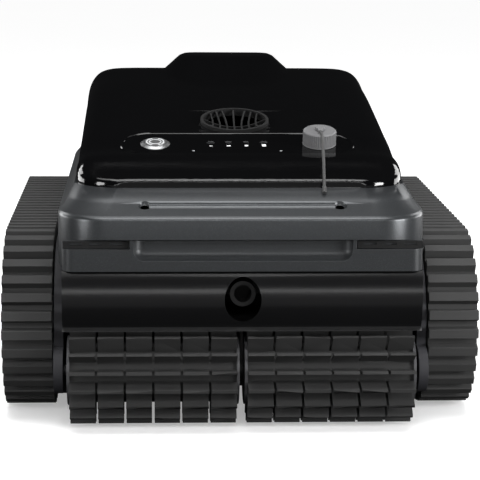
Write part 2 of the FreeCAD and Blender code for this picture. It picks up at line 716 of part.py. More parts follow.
def make_brushes():
    """Two brush rollers, each a rubber sleeve with blades on a plastic roller."""
    start = size("brush_start") + size("flange_thickness")
    length = size("brush_end") - size("brush_start") - 2 * size("flange_thickness")
    sections = int(size("blade_sections"))
    step = (length + size("blade_gap")) / sections
    blade_length = step - size("blade_gap")
    middle = Vector(-start - length, size("brush_axis"), size("brush_radius"))
    sleeve = Part.makeCylinder(size("brush_sleeve_radius") - 0.2, length, middle, Vector(1, 0, 0))
    for index in range(sections):
        at_x = -start - length + index * step
        sleeve = sleeve.fuse(Part.Face(star_wire(size("brush_radius"), at_x)).extrude(
            Vector(blade_length, 0, 0)))
    sleeve = sleeve.cut(Part.makeCylinder(size("brush_tube_radius"), length + 2,
                                          middle - Vector(1, 0, 0), Vector(1, 0, 0)))
    brush = node("brush_sleeve_left", solid("sleeve", sleeve))
    node("brush_sleeve_right", mirrored("sleeve_right", brush))

    spot = ("brush_axis", "brush_radius")
    roller = fuse(
        "roller",
        cylinder("roller_axle", ("-plate_out + 0.5",) + spot, "brush_axle_radius",
                 "plate_out - 0.5 - 0.3"),
        cylinder("roller_tube", ("-brush_end",) + spot, "brush_tube_radius",
                 "brush_end - brush_start"),
        cylinder("outer_flange", ("-brush_end",) + spot, "flange_radius", "flange_thickness"),
        cylinder("inner_flange", ("-brush_start - flange_thickness",) + spot, "flange_radius",
                 "flange_thickness"),
    )
    roller = node("brush_roller_left", roller)
    node("brush_roller_right", mirrored("roller_right", roller))

    arm = box("hanger_arm", ("-hanger_thickness / 2", "brush_axis - 7", "brush_radius"),
              ("hanger_thickness", 14, "brush_radius + brush_room - 0.6"))
    hub = cylinder("hanger_hub", ("-hanger_thickness / 2",) + spot, 9, "hanger_thickness")
    bore = cylinder("hanger_bore", ("-hanger_thickness / 2 - 1",) + spot,
                    "brush_axle_radius + shaft_gap", "hanger_thickness + 2")
    node("brush_hanger", cut("hanger", fuse("hanger_whole", arm, hub), bore))


# ---------------------------------------------------------------- front cover and jet

def make_front_cover():
    """The bulging cover over the brushes, its arch, its cheeks and the jet port."""
    width = "cover_half_width * 2"
    left = "-cover_half_width"
    bulge = (left, "nose + cover_radius + 0.5", "port_level")
    ball = cylinder("bulge", bulge, "cover_radius", width)
    hollow = cylinder("bulge_hollow", bulge, "cover_radius - cover_wall", width)
    front_half = box("front_half", (left, "nose - 10", "cover_bottom"),
                     (width, 40, "skirt_bottom - 0.5 - cover_bottom"))
    wall = common("cover_front", cut("bulge_ring", ball, hollow), front_half)

    brush = (left, "brush_axis", "brush_radius")
    arch = cylinder("arch", brush, "arch_radius + cover_wall", width)
    arch_room = cylinder("arch_room", brush, "arch_radius", width)
    over = box("arch_over", (left, "nose - 10", "cover_bottom"), (width, 100, 30))
    behind = box("arch_behind", (left, "brush_axis", 30), (width, 70, 80))
    arch_wall = common("cover_arch", cut("arch_ring", arch, arch_room),
                       fuse("arch_keep", over, behind))

    cheek_blank = common("cheek_blank", ball, front_half)
    cheek_slab = common("cheek_left", cut("cheek_open", cheek_blank, arch_room),
                        box("cheek_side", (left, "nose - 10", 0), (2.5, 60, 200)))
    whole = fuse("cover_whole_shell", wall, arch_wall, cheek_slab, mirrored("cheek_right", cheek_slab))
    half_width = size("port_width") / 2
    half_height = size("port_height") / 2
    oval = Part.Ellipse(Vector(0, 0, 0), half_height, half_width).toShape()
    oval.rotate(Vector(0, 0, 0), Vector(0, 0, 1), 90)
    oval.rotate(Vector(0, 0, 0), Vector(1, 0, 0), 90)
    oval.translate(Vector(0, size("nose") + 14, size("port_level")))
    port = solid("port", Part.Face(Part.Wire(oval)).extrude(Vector(0, -40, 0)))
    node("front_cover", cut("cover", whole, port))

    spot = (0, "nose + 8", "port_level + 4")
    tube = cut("jet_bored", cylinder("jet_tube", spot, "jet_radius", 26, "Y"),
               cylinder("jet_bore", (0, "nose + 7", "port_level + 4"), "jet_radius - 3.5", 20, "Y"))
    node("jet_nozzle", tube)


# ---------------------------------------------------------------- frame and skirt

def plates_room():
    """The space of both side plates and a little round them."""
    outline = stadium_face(size("plate_radius") + 1, size("front_axle"), size("rear_axle"),
                           size("track_radius"), -size("plate_out") - 1)
    return Part.Face(outline).extrude(Vector(2 * size("plate_out") + 2, 0, 0))


def block(low, high):
    """A plain box shape between two corners."""
    return Part.makeBox(high[0] - low[0], high[1] - low[1], high[2] - low[2], Vector(*low))


def under_band(half_width, clearance):
    """The room under the front band, whose lower edge drops towards the corners."""
    nose = size("nose")
    level = size("band_bottom") - clearance
    low = size("skirt_bottom") - 1
    reach = size("front_axle") - nose
    points = [(nose - 5, low), (nose - 5, level), (nose, level),
              (nose + 50, level - 50 * size("band_drop")), (nose + reach, level - 50 * size("band_drop")),
              (nose + reach, low)]
    wire = Part.makePolygon([Vector(-half_width, y, z) for y, z in points + points[:1]])
    return Part.Face(wire).extrude(Vector(2 * half_width, 0, 0))


# The ledge's outline from the band up: how far in, as a share of its depth, and how high, in mm.
LEDGE_STEPS = [(0.0, 0.0), (0.02, 1.8), (0.05, 3.2), (0.1, 4.2), (0.55, 11.0), (0.6, 13.2)]


def make_frame():
    """The bumper frame: front band, stepped ledge, side walls and rear end."""
    wall = size("frame_wall")
    band_top = size("band_top")
    top = size("frame_top")
    skirt = size("skirt_bottom")
    nose = size("nose")
    outer = prism_between(frame_wire(skirt), band_top - skirt)
    tiers = [ledge_wire(share, band_top + rise) for share, rise in LEDGE_STEPS] + [rim_wire(top)]
    for lower, upper in zip(tiers, tiers[1:]):
        outer = outer.fuse(Part.makeLoft([lower, upper], True, True))
    inner = prism_between(frame_wire(skirt - 1, wall), band_top - skirt - 1)
    slope_in = Part.makeLoft([frame_wire(band_top - 2, wall), rim_wire(top + 0.01, wall)], True, True)
    inner = inner.fuse(slope_in)
    side = size("cover_half_width") + 0.6
    beside_tracks = block((-200, size("front_axle") - 50, skirt - 1),
                          (200, size("tail") + 5, size("side_bottom")))
    frame = outer.cut(inner).cut(under_band(side, 0)).cut(beside_tracks)
    frame = frame.cut(plates_room())

    groove_y = nose + size("groove_back")
    groove_z = band_top + size("groove_rise") + size("groove_radius") - size("groove_depth")
    half = size("groove_length") / 2 - size("groove_radius")
    middle = Vector(-half, groove_y, groove_z)
    groove = Part.makeCylinder(size("groove_radius"), 2 * half, middle, Vector(1, 0, 0))
    for end in (middle, middle + Vector(2 * half, 0, 0)):
        groove = groove.fuse(Part.makeSphere(size("groove_radius") + size("dimple_growth"), end))
    frame = frame.cut(groove)
    frame = frame.fuse(hinge_knuckles())
    node("bumper_frame", solid("frame", frame))


def make_skirt():
    """The lower skirt with its finger scoop, and the slotted vent strips beside it."""
    bottom = size("skirt_bottom")
    band = size("band_bottom")
    half = size("cover_half_width")
    nose = size("nose")
    front = nose + 0.8
    deep = size("skirt_depth")
    radius = size("skirt_radius")
    blank = prism_between(rounded_wire(half, front, front + 90, radius, radius, bottom), band - bottom)
    wall = size("frame_wall")
    hollow = prism_between(rounded_wire(half - wall, front + 15, front + 80, radius - wall, radius - wall,
                                        bottom - 1), band + 2 - bottom)
    keep = block((-half, nose - 1, bottom - 1), (half, nose + deep, band + 1))
    skirt = blank.cut(hollow).common(keep).common(under_band(half + 1, 0.3))
    skirt = skirt.cut(plates_room())

    step = size("strip_step")
    start = size("strip_start")
    low, high = size("strip_bottom"), band + 5
    recess = block((start, nose - 5, low), (half + 5, front + step, high))
    recess = recess.fuse(block((-half - 5, nose - 5, low), (-start, front + step, high)))
    skirt = skirt.cut(recess)

    reach = size("scoop_length") / 2
    middle = Vector(-reach, nose - size("scoop_ahead"), size("scoop_bottom") + size("scoop_radius"))
    scoop = Part.makeCylinder(size("scoop_radius"), 2 * reach, middle, Vector(1, 0, 0))
    for end in (middle, middle + Vector(2 * reach, 0, 0)):
        scoop = scoop.fuse(Part.makeSphere(size("scoop_radius"), end))
        scoop = scoop.fuse(Part.makeCylinder(size("scoop_radius"), band - end.z + 1, end))
    back = middle.y + size("scoop_radius")
    scoop = scoop.fuse(block((-reach, nose - 5, middle.z), (reach, back, band + 1)))
    node("front_skirt", solid("skirt", skirt.cut(scoop)))

    strip = block((-half + 1, front + step - 2, size("strip_bottom") + 0.3),
                  (-start - 1, front + step, band)).common(under_band(half, 1.0))
    for slot in range(3):
        x = -start - 17 * (slot + 1)
        strip = strip.cut(block((x, nose - 5, size("strip_bottom") + 3),
                                (x + 11, nose + 20, size("strip_bottom") + 5)))
    left = solid("strip_left", strip)
    node("vent_strips", together("strips", left, mirrored("strip_right", left)))


# ---------------------------------------------------------------- top shell

def shell_stations(inset):
    """Half widths and heights of the glossy top, from front to rear."""
    half = size("shell_half_width")
    front = size("shell_front") + size("shell_gap")
    rear = size("shell_rear") - size("shell_gap")
    front_radius = size("shell_corner_front")
    rear_radius = size("shell_corner_rear")
    level = size("frame_top")
    stations = []
    for turn, rise in ((0, 3.5), (25, 8.0), (50, 10.5), (75, 16.5), (90, 20.5)):
        angle = math.radians(turn)
        stations.append((front + front_radius * (1 - math.cos(angle)),
                         half - front_radius + front_radius * math.sin(angle), level + rise))
    for back, rise in ((68, 23.8), (98, 31.0), (135, 39.4), (172, 47.2), (215, 55.8), (260, 63.6),
                       (305, 69.6)):
        stations.append((front + back, half, level + rise))
    for turn, rise in ((90, 70.5), (68, 65.5), (45, 54.5), (22, 34.0), (0, 8.0)):
        angle = math.radians(turn)
        stations.append((rear - rear_radius * (1 - math.cos(angle)),
                         half - rear_radius + rear_radius * math.sin(angle), level + rise))
    first, last = front + inset, rear - inset
    middle = (first + last) / 2
    scale = (last - first) / (rear - front)
    return [(middle + (y - (front + rear) / 2) * scale, width - inset, rise - inset)
            for y, width, rise in stations]


def shell_section(y, half_width, crest, foot):
    """One cross-section of the glossy top: a crowned arch on a flat foot."""
    height = crest - foot
    square, shoulder = size("shell_square"), size("shell_shoulder")
    half = [(0.0, 1.0)]
    half += [(share, (1 - share ** square) ** shoulder) for share in (0.2, 0.4, 0.58, 0.73, 0.83, 0.9)]
    half += [((1 - rise ** (1 / shoulder)) ** (1 / square), rise) for rise in (0.8, 0.6, 0.4, 0.2, 0.0)]
    shape = [(-share, rise) for share, rise in half[:0:-1]] + half
    points = [Vector(half_width * share, y, foot + height * rise) for share, rise in shape]
    arch = Part.BSplineCurve()
    arch.interpolate(points)
    return Part.Wire([arch.toShape(), Part.LineSegment(points[-1], points[0]).toShape()])


def shell_solid(inset, foot):
    """The space under the glossy top's surface."""
    sections = [shell_section(y, width, max(crest, foot + 1), foot)
                for y, width, crest in shell_stations(inset)]
    return Part.makeLoft(sections, True, False)


def pill_face(half_length, radius):
    """A pill seen square on, in its own plane."""
    straight = half_length - radius
    right = Vector(straight, -radius, 0)
    right_top = Vector(straight, radius, 0)
    left_top = Vector(-straight, radius, 0)
    left = Vector(-straight, -radius, 0)
    edges = [
        Part.LineSegment(left, right), Part.Arc(right, Vector(straight + radius, 0, 0), right_top),
        Part.LineSegment(right_top, left_top),
        Part.Arc(left_top, Vector(-straight - radius, 0, 0), left),
    ]
    return Part.Wire([edge.toShape() for edge in edges])


def on_panel(shape):
    """Move a shape made in the panel's own plane onto the deck."""
    moved = shape.copy()
    moved.Placement = Placement(Vector(0, size("panel_middle"), size("panel_level")),
                                Rotation(Vector(1, 0, 0), size("panel_tilt"))).multiply(moved.Placement)
    return moved


def on_grille(shape):
    """Move a shape made in the grille's own plane onto the deck."""
    moved = shape.copy()
    moved.Placement = Placement(Vector(0, size("grille_middle"), size("grille_level")),
                                Rotation(Vector(1, 0, 0), size("grille_tilt"))).multiply(moved.Placement)
    return moved


def upright(radius, low, high, x=0.0, y=0.0):
    """A cylinder standing in a local plane."""
    return Part.makeCylinder(radius, high - low, Vector(x, y, low))


def mound_shape():
    """The raised pill that carries the control panel."""
    half = size("panel_length") / 2 + size("panel_rim")
    radius = size("panel_depth") / 2 + size("panel_rim")
    spread = size("mound_skirt")
    top = pill_face(half, radius)
    foot = pill_face(half + spread, radius + spread)
    foot.translate(Vector(0, 0, -size("mound_height")))
    return on_panel(Part.makeLoft([foot, top], True, True))


def make_top():
    """The deck at the front and the filter lid behind the seam."""
    foot = size("frame_top")
    outer = shell_solid(0, foot)
    inner = shell_solid(size("shell_wall"), foot - 5)
    seam = size("seam")
    before = block((-300, -400, 100), (300, seam - size("seam_gap") / 2, 400))
    after = block((-300, seam + size("seam_gap") / 2, foot + 0.4), (300, 400, 400))

    deck = outer.fuse(mound_shape()).cut(inner).common(before)
    half = size("panel_length") / 2
    radius = size("panel_depth") / 2
    fit = size("fitting_gap")
    bed = Part.Face(pill_face(half + fit, radius + fit)).extrude(Vector(0, 0, 5))
    bed.translate(Vector(0, 0, -size("panel_thickness")))
    spread = size("control_spread")
    well = upright(size("button_radius") + 2.4, -30, 0, -spread)
    neck = upright(size("neck_radius") + fit, -30, 0, spread)
    deck = deck.cut(on_panel(bed)).cut(on_panel(well)).cut(on_panel(neck))
    deck = deck.cut(on_grille(upright(size("grille_radius") + fit, -20, 20)))
    node("deck_cover", solid("deck", deck))

    whole = outer.fuse(hump_shape())
    lid = whole.cut(inner).common(after)
    lid = lid.fuse(whole.common(grip_pocket(size("shell_wall")))).cut(grip_pocket()).fuse(lid_knuckles())
    for bore in hinge_bores(size("hinge_pin_radius") + size("shaft_gap")):
        lid = lid.cut(bore)
    node("filter_lid", solid("lid", lid))

    rail = shell_solid(size("shell_wall") + 0.02, foot - 5)
    rail = rail.cut(shell_solid(size("shell_wall") + size("seal_thickness"), foot - 5))
    rail = rail.common(block((-300, seam + 4, foot + 1.5), (300, seam + 7, 400)))
    node("lid_seal", solid("seal", rail))


def hump_shape():
    """The raised grip on the rear lid, with its sloping front facet."""
    rear = size("shell_rear")
    base = size("frame_top") + 56
    foot = rounded_wire(size("hump_half_foot"), rear - size("hump_front"), rear - 2, 68, 40, base)
    low = rounded_wire(size("hump_half_foot") - 2, rear - size("hump_front") + 4, rear - 4, 66, 38,
                       base - 30)
    top = size("hump_top")
    shoulder = rounded_wire(size("hump_half_top") + 4.5, rear - size("hump_crest") - 8,
                            rear - 20, 24, 18, top - 2)
    crown = rounded_wire(size("hump_half_top"), rear - size("hump_crest"), rear - 26, 20, 14, top)
    hump = Part.makeLoft([foot, shoulder], True, True).fuse(Part.makeLoft([shoulder, crown], True, True))
    root = Part.makeLoft([low, foot], True, True)
    return hump.fuse(root.common(block((-300, rear - 60, 0), (300, rear, 400))))


def grip_pocket(grow=0.0):
    """The finger pocket under the rear of the hump, or the block that lines it."""
    rear = size("shell_rear")
    half = size("hump_half_top") - 6 + grow
    top = size("hump_top")
    return block((-half, rear - 32 - grow, top - 44 - grow), (half, rear + 20, top - 26 + grow))


def hinge_axis_point(x):
    """A point on the lid's hinge."""
    return Vector(x, size("hinge_axis"), size("hinge_level"))


def knuckle(start, length, toward):
    """One hinge knuckle with its arm to the frame (down) or to the lid (forward)."""
    radius = size("knuckle_radius")
    eye = Part.makeCylinder(radius, length, hinge_axis_point(start), Vector(1, 0, 0))
    if toward == "frame":
        arm = block((start, size("hinge_axis") - radius, size("band_top") + 1),
                    (start + length, size("hinge_axis") + radius, size("hinge_level")))
    else:
        arm = block((start, size("shell_rear") - 3.6, size("hinge_level") - 3.5),
                    (start + length, size("hinge_axis"), size("hinge_level") + radius))
    return eye.fuse(arm)


def hinge_bores(radius):
    """The two bores for the hinge pins."""
    return [Part.makeCylinder(radius, 50, hinge_axis_point(start), Vector(1, 0, 0))
            for start in (-85, 35)]


def hinge_knuckles():
    """The frame's four knuckles, bored for the pins."""
    parts = [knuckle(start, 12, "frame") for start in (-84, -50, 38, 72)]
    whole = parts[0].multiFuse(parts[1:])
    for bore in hinge_bores(size("hinge_pin_radius")):
        whole = whole.cut(bore)
    return whole


def lid_knuckles():
    """The lid's two knuckles, between the frame's."""
    parts = [knuckle(start, 21, "lid") for start in (-71.5, 50.5)]
    return parts[0].fuse(parts[1])


def make_hinge_pins():
    """The lid's two pins, held in the frame's knuckles, and the two flap pins."""
    pins = [Part.makeCylinder(size("hinge_pin_radius"), 46, hinge_axis_point(start), Vector(1, 0, 0))
            for start in (-84, 38)]
    node("hinge_pins", solid("pins", Part.makeCompound(pins + flap_pins())))


# ---------------------------------------------------------------- controls

def make_controls():
    """Panel, light windows, button, charging socket, cap and the outlet grille."""
    half = size("panel_length") / 2
    radius = size("panel_depth") / 2
    thick = size("panel_thickness")
    spread = size("control_spread")
    panel = Part.Face(pill_face(half, radius)).extrude(Vector(0, 0, thick))
    panel.translate(Vector(0, 0, -thick))
    panel = panel.cut(upright(size("button_radius") + 0.4, -9, 9, -spread))
    panel = panel.cut(upright(size("neck_radius") + size("fitting_gap"), -9, 9, spread))
    windows = []
    for column in range(4):
        x = (column - 1.5) * 15.8
        wide, deep = ((2.6, 1.2), (3.6, 1.8), (3.0, 3.2), (3.6, 4.4))[column]
        windows.append(Part.makeBox(wide, deep, thick, Vector(x - wide / 2, -5.6, -thick)))
        windows.append(Part.makeBox(4.6, 2.6, thick, Vector(x - 2.3, 2.4, -thick)))
    glass = Part.makeCompound(windows)
    node("control_panel", solid("panel", on_panel(panel.cut(glass))))
    node("icon_windows", solid("windows", on_panel(glass)))

    ring = Part.makeCone(size("bezel_radius"), size("button_radius") + 1.2, 1.6, Vector(-spread, 0, 0))
    ring = ring.cut(upright(size("button_radius") + 0.4, -5, 5, -spread))
    node("button_bezel", solid("bezel", on_panel(ring)))
    button = upright(size("button_radius"), -4, 2.0, -spread)
    button = button.cut(upright(size("button_radius") - 3, -5, -1.5, -spread))
    stem = upright(3, -9, -1.2, -spread)
    node("power_button", solid("button", on_panel(button.fuse(stem))))

    neck = upright(size("neck_radius"), -22, size("neck_height"), spread)
    neck = neck.cut(upright(size("neck_radius") - size("neck_wall"), -12, 20, spread))
    node("charge_socket", solid("socket", on_panel(neck)))
    pins = [upright(1, -12, -3, spread + dx, dy) for dx, dy in ((-3, -2), (3, -2), (0, 3.4))]
    node("charge_contacts", solid("contacts", on_panel(Part.makeCompound(pins))))

    crown = Vector(spread, 0, size("cap_height") - 1)
    cap = upright(size("cap_radius"), 0.4, size("cap_height") - 1, spread)
    cap = cap.fuse(Part.makeCone(size("cap_radius"), size("cap_radius") - 1, 1, crown))
    roof = size("cap_roof")
    pivot = size("swivel_radius")
    cap = cap.cut(upright(size("cap_bore"), 0, roof, spread))
    cap = cap.cut(upright(pivot + size("shaft_gap"), 5, 20, spread))
    cap = cap.cut(upright(pivot + 2.3, roof - 1, roof + 1.5, spread))
    node("charge_cap", solid("cap", on_panel(cap)))
    ring = upright(size("cap_bore") - 0.05, size("neck_height") + 0.9, roof, spread)
    ring = ring.cut(upright(pivot + 4, 0, 20, spread))
    node("cap_seal", solid("cap_ring", on_panel(ring)))
    swivel = upright(pivot, roof + 0.5, size("cap_height") + 1, spread)
    swivel = swivel.fuse(upright(pivot + 2, roof + 0.2, roof + 1.2, spread))
    swivel = swivel.fuse(upright(pivot + 2.6, size("cap_height") + 0.3, size("cap_height") + 3.2, spread))
    lug = Part.makeBox(2 * pivot, 7, 2.6, Vector(spread - pivot, -9, size("cap_height") + 0.6))
    node("cap_swivel", solid("swivel", on_panel(swivel.fuse(lug))))

    outer = size("grille_radius")
    ring = upright(outer, -4, 3).cut(upright(outer - 2.4, -5, 9))
    bowl = size("grille_bowl")
    reach = outer - 2.4
    curve = (reach ** 2 + bowl ** 2) / (2 * bowl)
    centre = Vector(0, 0, curve - bowl + 1)
    skin = Part.makeSphere(curve, centre).cut(Part.makeSphere(curve - 2.2, centre))
    skin = skin.common(upright(outer - 1, -20, 2))
    bars = []
    for index in range(int(size("grille_bars"))):
        x = (index - (size("grille_bars") - 1) / 2) * size("grille_pitch")
        if abs(x) < 0.1:
            bars.append(Part.makeBox(1.6, 2 * outer, 40, Vector(-0.8, -outer, -20)))
            continue
        arc = size("grille_bar_curve")
        middle = x + math.copysign(arc, x)
        bars.append(upright(arc + 0.8, -20, 20, middle).cut(upright(arc - 0.8, -21, 21, middle)))
    for y in (0, -14):
        bars.append(Part.makeBox(2 * outer, 1.4, 40, Vector(-outer, y - 0.7, -20)))
    grid = bars[0].multiFuse(bars[1:]).common(skin)
    node("outlet_grille", solid("grille", on_grille(ring.fuse(grid))))


TETHER_ROUTE = [
    (73.5, -122.2, 242.8), (73.8, -131.5, 240.8), (73.6, -140.5, 235.6), (73.2, -149.2, 230.2),
    (72.8, -158.4, 226.0), (72.2, -168.0, 222.0), (71.5, -177.8, 217.8), (70.9, -187.2, 212.0),
    (70.5, -193.5, 204.6),
]
TETHER_RADIUS = 1.3


def tether_points():
    """The tether's route in the machine's own frame."""
    return [Vector(*point) for point in TETHER_ROUTE]


def rounded_path(points):
    """Straight runs joined by tangent arcs, each as large as its two runs allow."""
    edges = []
    start = points[0]
    for before, corner, after in zip(points, points[1:], points[2:]):
        back = (before - corner).normalize()
        ahead = (after - corner).normalize()
        turn = math.pi - back.getAngle(ahead)
        shorter = min((corner - before).Length, (after - corner).Length)
        cut_back = 0.45 * shorter
        radius = cut_back / math.tan(turn / 2)
        print(f"tether corner: turn {math.degrees(turn):.1f} deg, radius {radius:.1f}")
        enter = corner + back * cut_back
        leave = corner + ahead * cut_back
        middle = (back + ahead).normalize()
        bow = corner + middle * (radius / math.cos(turn / 2) - radius)
        edges.append(Part.LineSegment(start, enter).toShape())
        edges.append(Part.Arc(enter, bow, leave).toShape())
        start = leave
    edges.append(Part.LineSegment(start, points[-1]).toShape())
    return Part.Wire(edges)


def make_tether():
    """The rubber tether from the cap's swivel to its stud on the frame."""
    points = tether_points()
    path = rounded_path(points)
    section = Part.Wire([Part.Circle(points[0], points[1] - points[0], TETHER_RADIUS).toShape()])
    tube = path.makePipeShell([section], True, False)
    print(f"tether: {path.Length:.1f} long, volume {tube.Volume:.1f} of "
          f"{path.Length * math.pi * TETHER_RADIUS ** 2:.1f}")
    node("cap_tether", solid("tether", tube))
    foot = points[-1]
    heading = (points[-1] - points[-2]).normalize()
    stud = Part.makeCylinder(1.9, 6, foot + heading * 0.1, heading)
    node("tether_anchor", solid("anchor", stud))


# ---------------------------------------------------------------- inside

def make_tray():
    """The tray that carries everything, with two suction inlets in its floor."""
    low = "tray_bottom"
    wall = "tray_wall"
    high = "tray_top"
    outside = [("brush_axis + 56", low), ("tail - 18", low), ("tail - 5", f"{low} + 14"),
               ("tail - 5", high), ("nose + 46.5", high), ("nose + 46.5", 110),
               ("brush_axis + 30", 106), ("brush_axis + 56", 76)]
    inside = [(f"brush_axis + 56 + {wall}", f"{low} + {wall}"), ("tail - 20", f"{low} + {wall}"),
              (f"tail - 5 - {wall}", f"{low} + 16"), (f"tail - 5 - {wall}", f"{high} + 5"),
              (f"nose + 46.5 + {wall}", f"{high} + 5"), (f"nose + 46.5 + {wall}", "110 + tray_wall"),
              ("brush_axis + 31.5", "106 + tray_wall"), (f"brush_axis + 56 + {wall}", "78")]
    shell = cut("tray_shell", side_prism("tray_block", outside, "tray_half_width * 2"),
                side_prism("tray_room", inside, "(tray_half_width - tray_wall) * 2"))
    inlets = [box(f"inlet_{index}", (f"{side} * inlet_spread - inlet_width / 2",
                                     "inlet_back - inlet_depth / 2", "tray_bottom - 5"),
                  ("inlet_width", "inlet_depth", "tray_wall + 10"))
              for index, side in enumerate((-1, 1))]
    bores = [cylinder("tray_front_bore", ("-tray_half_width - 1", "front_axle", "track_radius"),
                      "axle_radius + 0.6", "tray_half_width * 2 + 2"),
             cylinder("tray_jet_bore", (0, "nose + 10", "port_level + 4"), "jet_radius", 26, "Y")]
    posts = flap_posts()
    pins = solid("flap_pin_bores", Part.makeCompound(flap_pins()))
    tray = fuse("tray_posted", cut("tray_open", shell, *inlets, *bores), posts)
    node("base_tray", cut("tray", tray, pins))

    for name, side in (("left", -1), ("right", 1)):
        centre = side * size("inlet_spread")
        half = size("inlet_width") / 2 + 3
        y0 = size("inlet_back") - size("inlet_depth") / 2 - 3
        y1 = size("inlet_back") + size("inlet_depth") / 2 + 5
        z0 = size("tray_bottom") + size("tray_wall") + 0.4
        leaf = block((centre - half, y0, z0), (centre + half, y1, z0 + size("flap_thickness")))
        start, length = flap_hinge(side)
        barrel = Part.makeCylinder(2.6, length - 8, start + Vector(4, 0, 0), Vector(1, 0, 0))
        bore = Part.makeCylinder(1.2 + size("shaft_gap"), length, start, Vector(1, 0, 0))
        node(f"suction_flap_{name}", solid(f"flap_{name}", leaf.fuse(barrel).cut(bore)))


def flap_hinge(side):
    """Where a suction flap's pin starts, and its length."""
    half = size("inlet_width") / 2 + 3
    start = side * size("inlet_spread") - half - 4
    y = size("inlet_back") + size("inlet_depth") / 2 + 5
    return Vector(start, y, size("tray_bottom") + size("tray_wall") + 3.0), 2 * half + 8


def flap_posts():
    """Four posts on the tray's floor that hold the flaps' pins."""
    floor = size("tray_bottom") + size("tray_wall")
    posts = []
    for side in (-1, 1):
        start, length = flap_hinge(side)
        for x in (start.x - 0.5, start.x + length - 3.5):
            posts.append(block((x, start.y - 3, floor - 1), (x + 4, start.y + 3, start.z + 3)))
    return solid("flap_posts", posts[0].multiFuse(posts[1:]))


def flap_pins():
    """The pins that the suction flaps swing on."""
    pins = []
    for side in (-1, 1):
        start, length = flap_hinge(side)
        pins.append(Part.makeCylinder(1.2, length, start, Vector(1, 0, 0)))
    return pins


def make_electronics():
    """The sealed box with its lid, the battery and the control board."""
    wall = "box_wall"
    outer = box("box_outer", ("-box_half_width", "box_front", "box_floor"),
                ("box_half_width * 2", "box_depth", "box_height"))
    room = box("box_room", (f"-box_half_width + {wall}", f"box_front + {wall}", f"box_floor + {wall}"),
               (f"(box_half_width - {wall}) * 2", f"box_depth - 2 * {wall}", "box_height"))
    node("electronics_box", cut("box_body", outer, room))
    node("box_lid", box("box_cover", ("-box_half_width", "box_front", "box_floor + box_height"),
                        ("box_half_width * 2", "box_depth", wall)))
    cells = []
    radius = 10.5
    for row in range(3):
        for column in range(3):
            cells.append(cylinder(f"cell_{row}_{column}", (
                f"-box_half_width + {wall} + 2 + {column * 58}",
                f"box_front + {wall} + {12 + 22 * row}", f"box_floor + {wall} + 12"), radius, 56))
    node("battery_cells", together("cells", *cells))
    node("control_board", box("board", ("-box_half_width + 10", "box_front + 10", "box_floor + 50"),
                              ("box_half_width * 2 - 20", "box_depth - 20", 1.6)))


def make_pump():
    """Pump motor, impeller and the outlet duct under the grille."""
    middle = "grille_middle"
    base = "box_floor + box_height + box_wall"
    motor = cylinder("motor_can", (0, middle, base), "motor_radius", "motor_height", "Z")
    bore = cylinder("motor_bore", (0, middle, base + " + motor_height - 14"), "2.5 + shaft_gap", 20, "Z")
    node("pump_motor", cut("pump", motor, bore))
    hub_base = size("box_floor") + size("box_height") + size("box_wall") + size("motor_height") + 6
    hub = Part.makeCylinder(8, 18, Vector(0, size("grille_middle"), hub_base))
    hub = hub.fuse(Part.makeCylinder(2.5, 18, Vector(0, size("grille_middle"), hub_base - 18)))
    blades = []
    for index in range(6):
        blade = Part.makeBox(size("impeller_radius") - 6, 2.2, 14, Vector(6, -1.1, 2))
        blade.rotate(Vector(0, 0, 0), Vector(1, 0, 0), 28)
        blade = blade.common(Part.makeCylinder(size("impeller_radius"), 18))
        blade.rotate(Vector(0, 0, 0), Vector(0, 0, 1), 60 * index)
        blade.translate(Vector(0, size("grille_middle"), hub_base))
        blades.append(blade)
    node("impeller", solid("rotor", hub.multiFuse(blades)))
    duct_low = size("box_floor") + size("box_height") + size("box_wall") + size("motor_height") - 12
    spot = Vector(0, size("grille_middle"), duct_low)
    height = size("grille_level") - 12 - duct_low
    duct = Part.makeCylinder(size("duct_radius"), height, spot)
    duct = duct.cut(Part.makeCylinder(size("duct_radius") - size("duct_wall"), height + 2,
                                      spot - Vector(0, 0, 1)))
    ribs = [block((-size("duct_radius") + 1, size("grille_middle") - 1.5, duct_low),
                  (-size("motor_radius") - 0.2, size("grille_middle") + 1.5, duct_low + 10)),
            block((size("motor_radius") + 0.2, size("grille_middle") - 1.5, duct_low),
                  (size("duct_radius") - 1, size("grille_middle") + 1.5, duct_low + 10))]
    node("outlet_duct", solid("duct", duct.multiFuse(ribs)))


def make_drives():
    """Gearmotors of the two tracks, inside the tray."""
    gearbox = box("gearbox", (-147, "front_axle - 11", "track_radius - 20"), (46, 50, 40))
    can = cylinder("drive_can", (-101, "front_axle + 18", "track_radius"), 17, 52)
    boss = cylinder("drive_boss", (-149, "front_axle", "track_radius"), 10, 4)
    bore = cylinder("drive_bore", (-152, "front_axle", "track_radius"), "axle_radius + shaft_gap", 40)
    drive = node("drive_motor_left", cut("drive", fuse("drive_whole", gearbox, can, boss), bore))
    node("drive_motor_right", mirrored("drive_copy", drive))


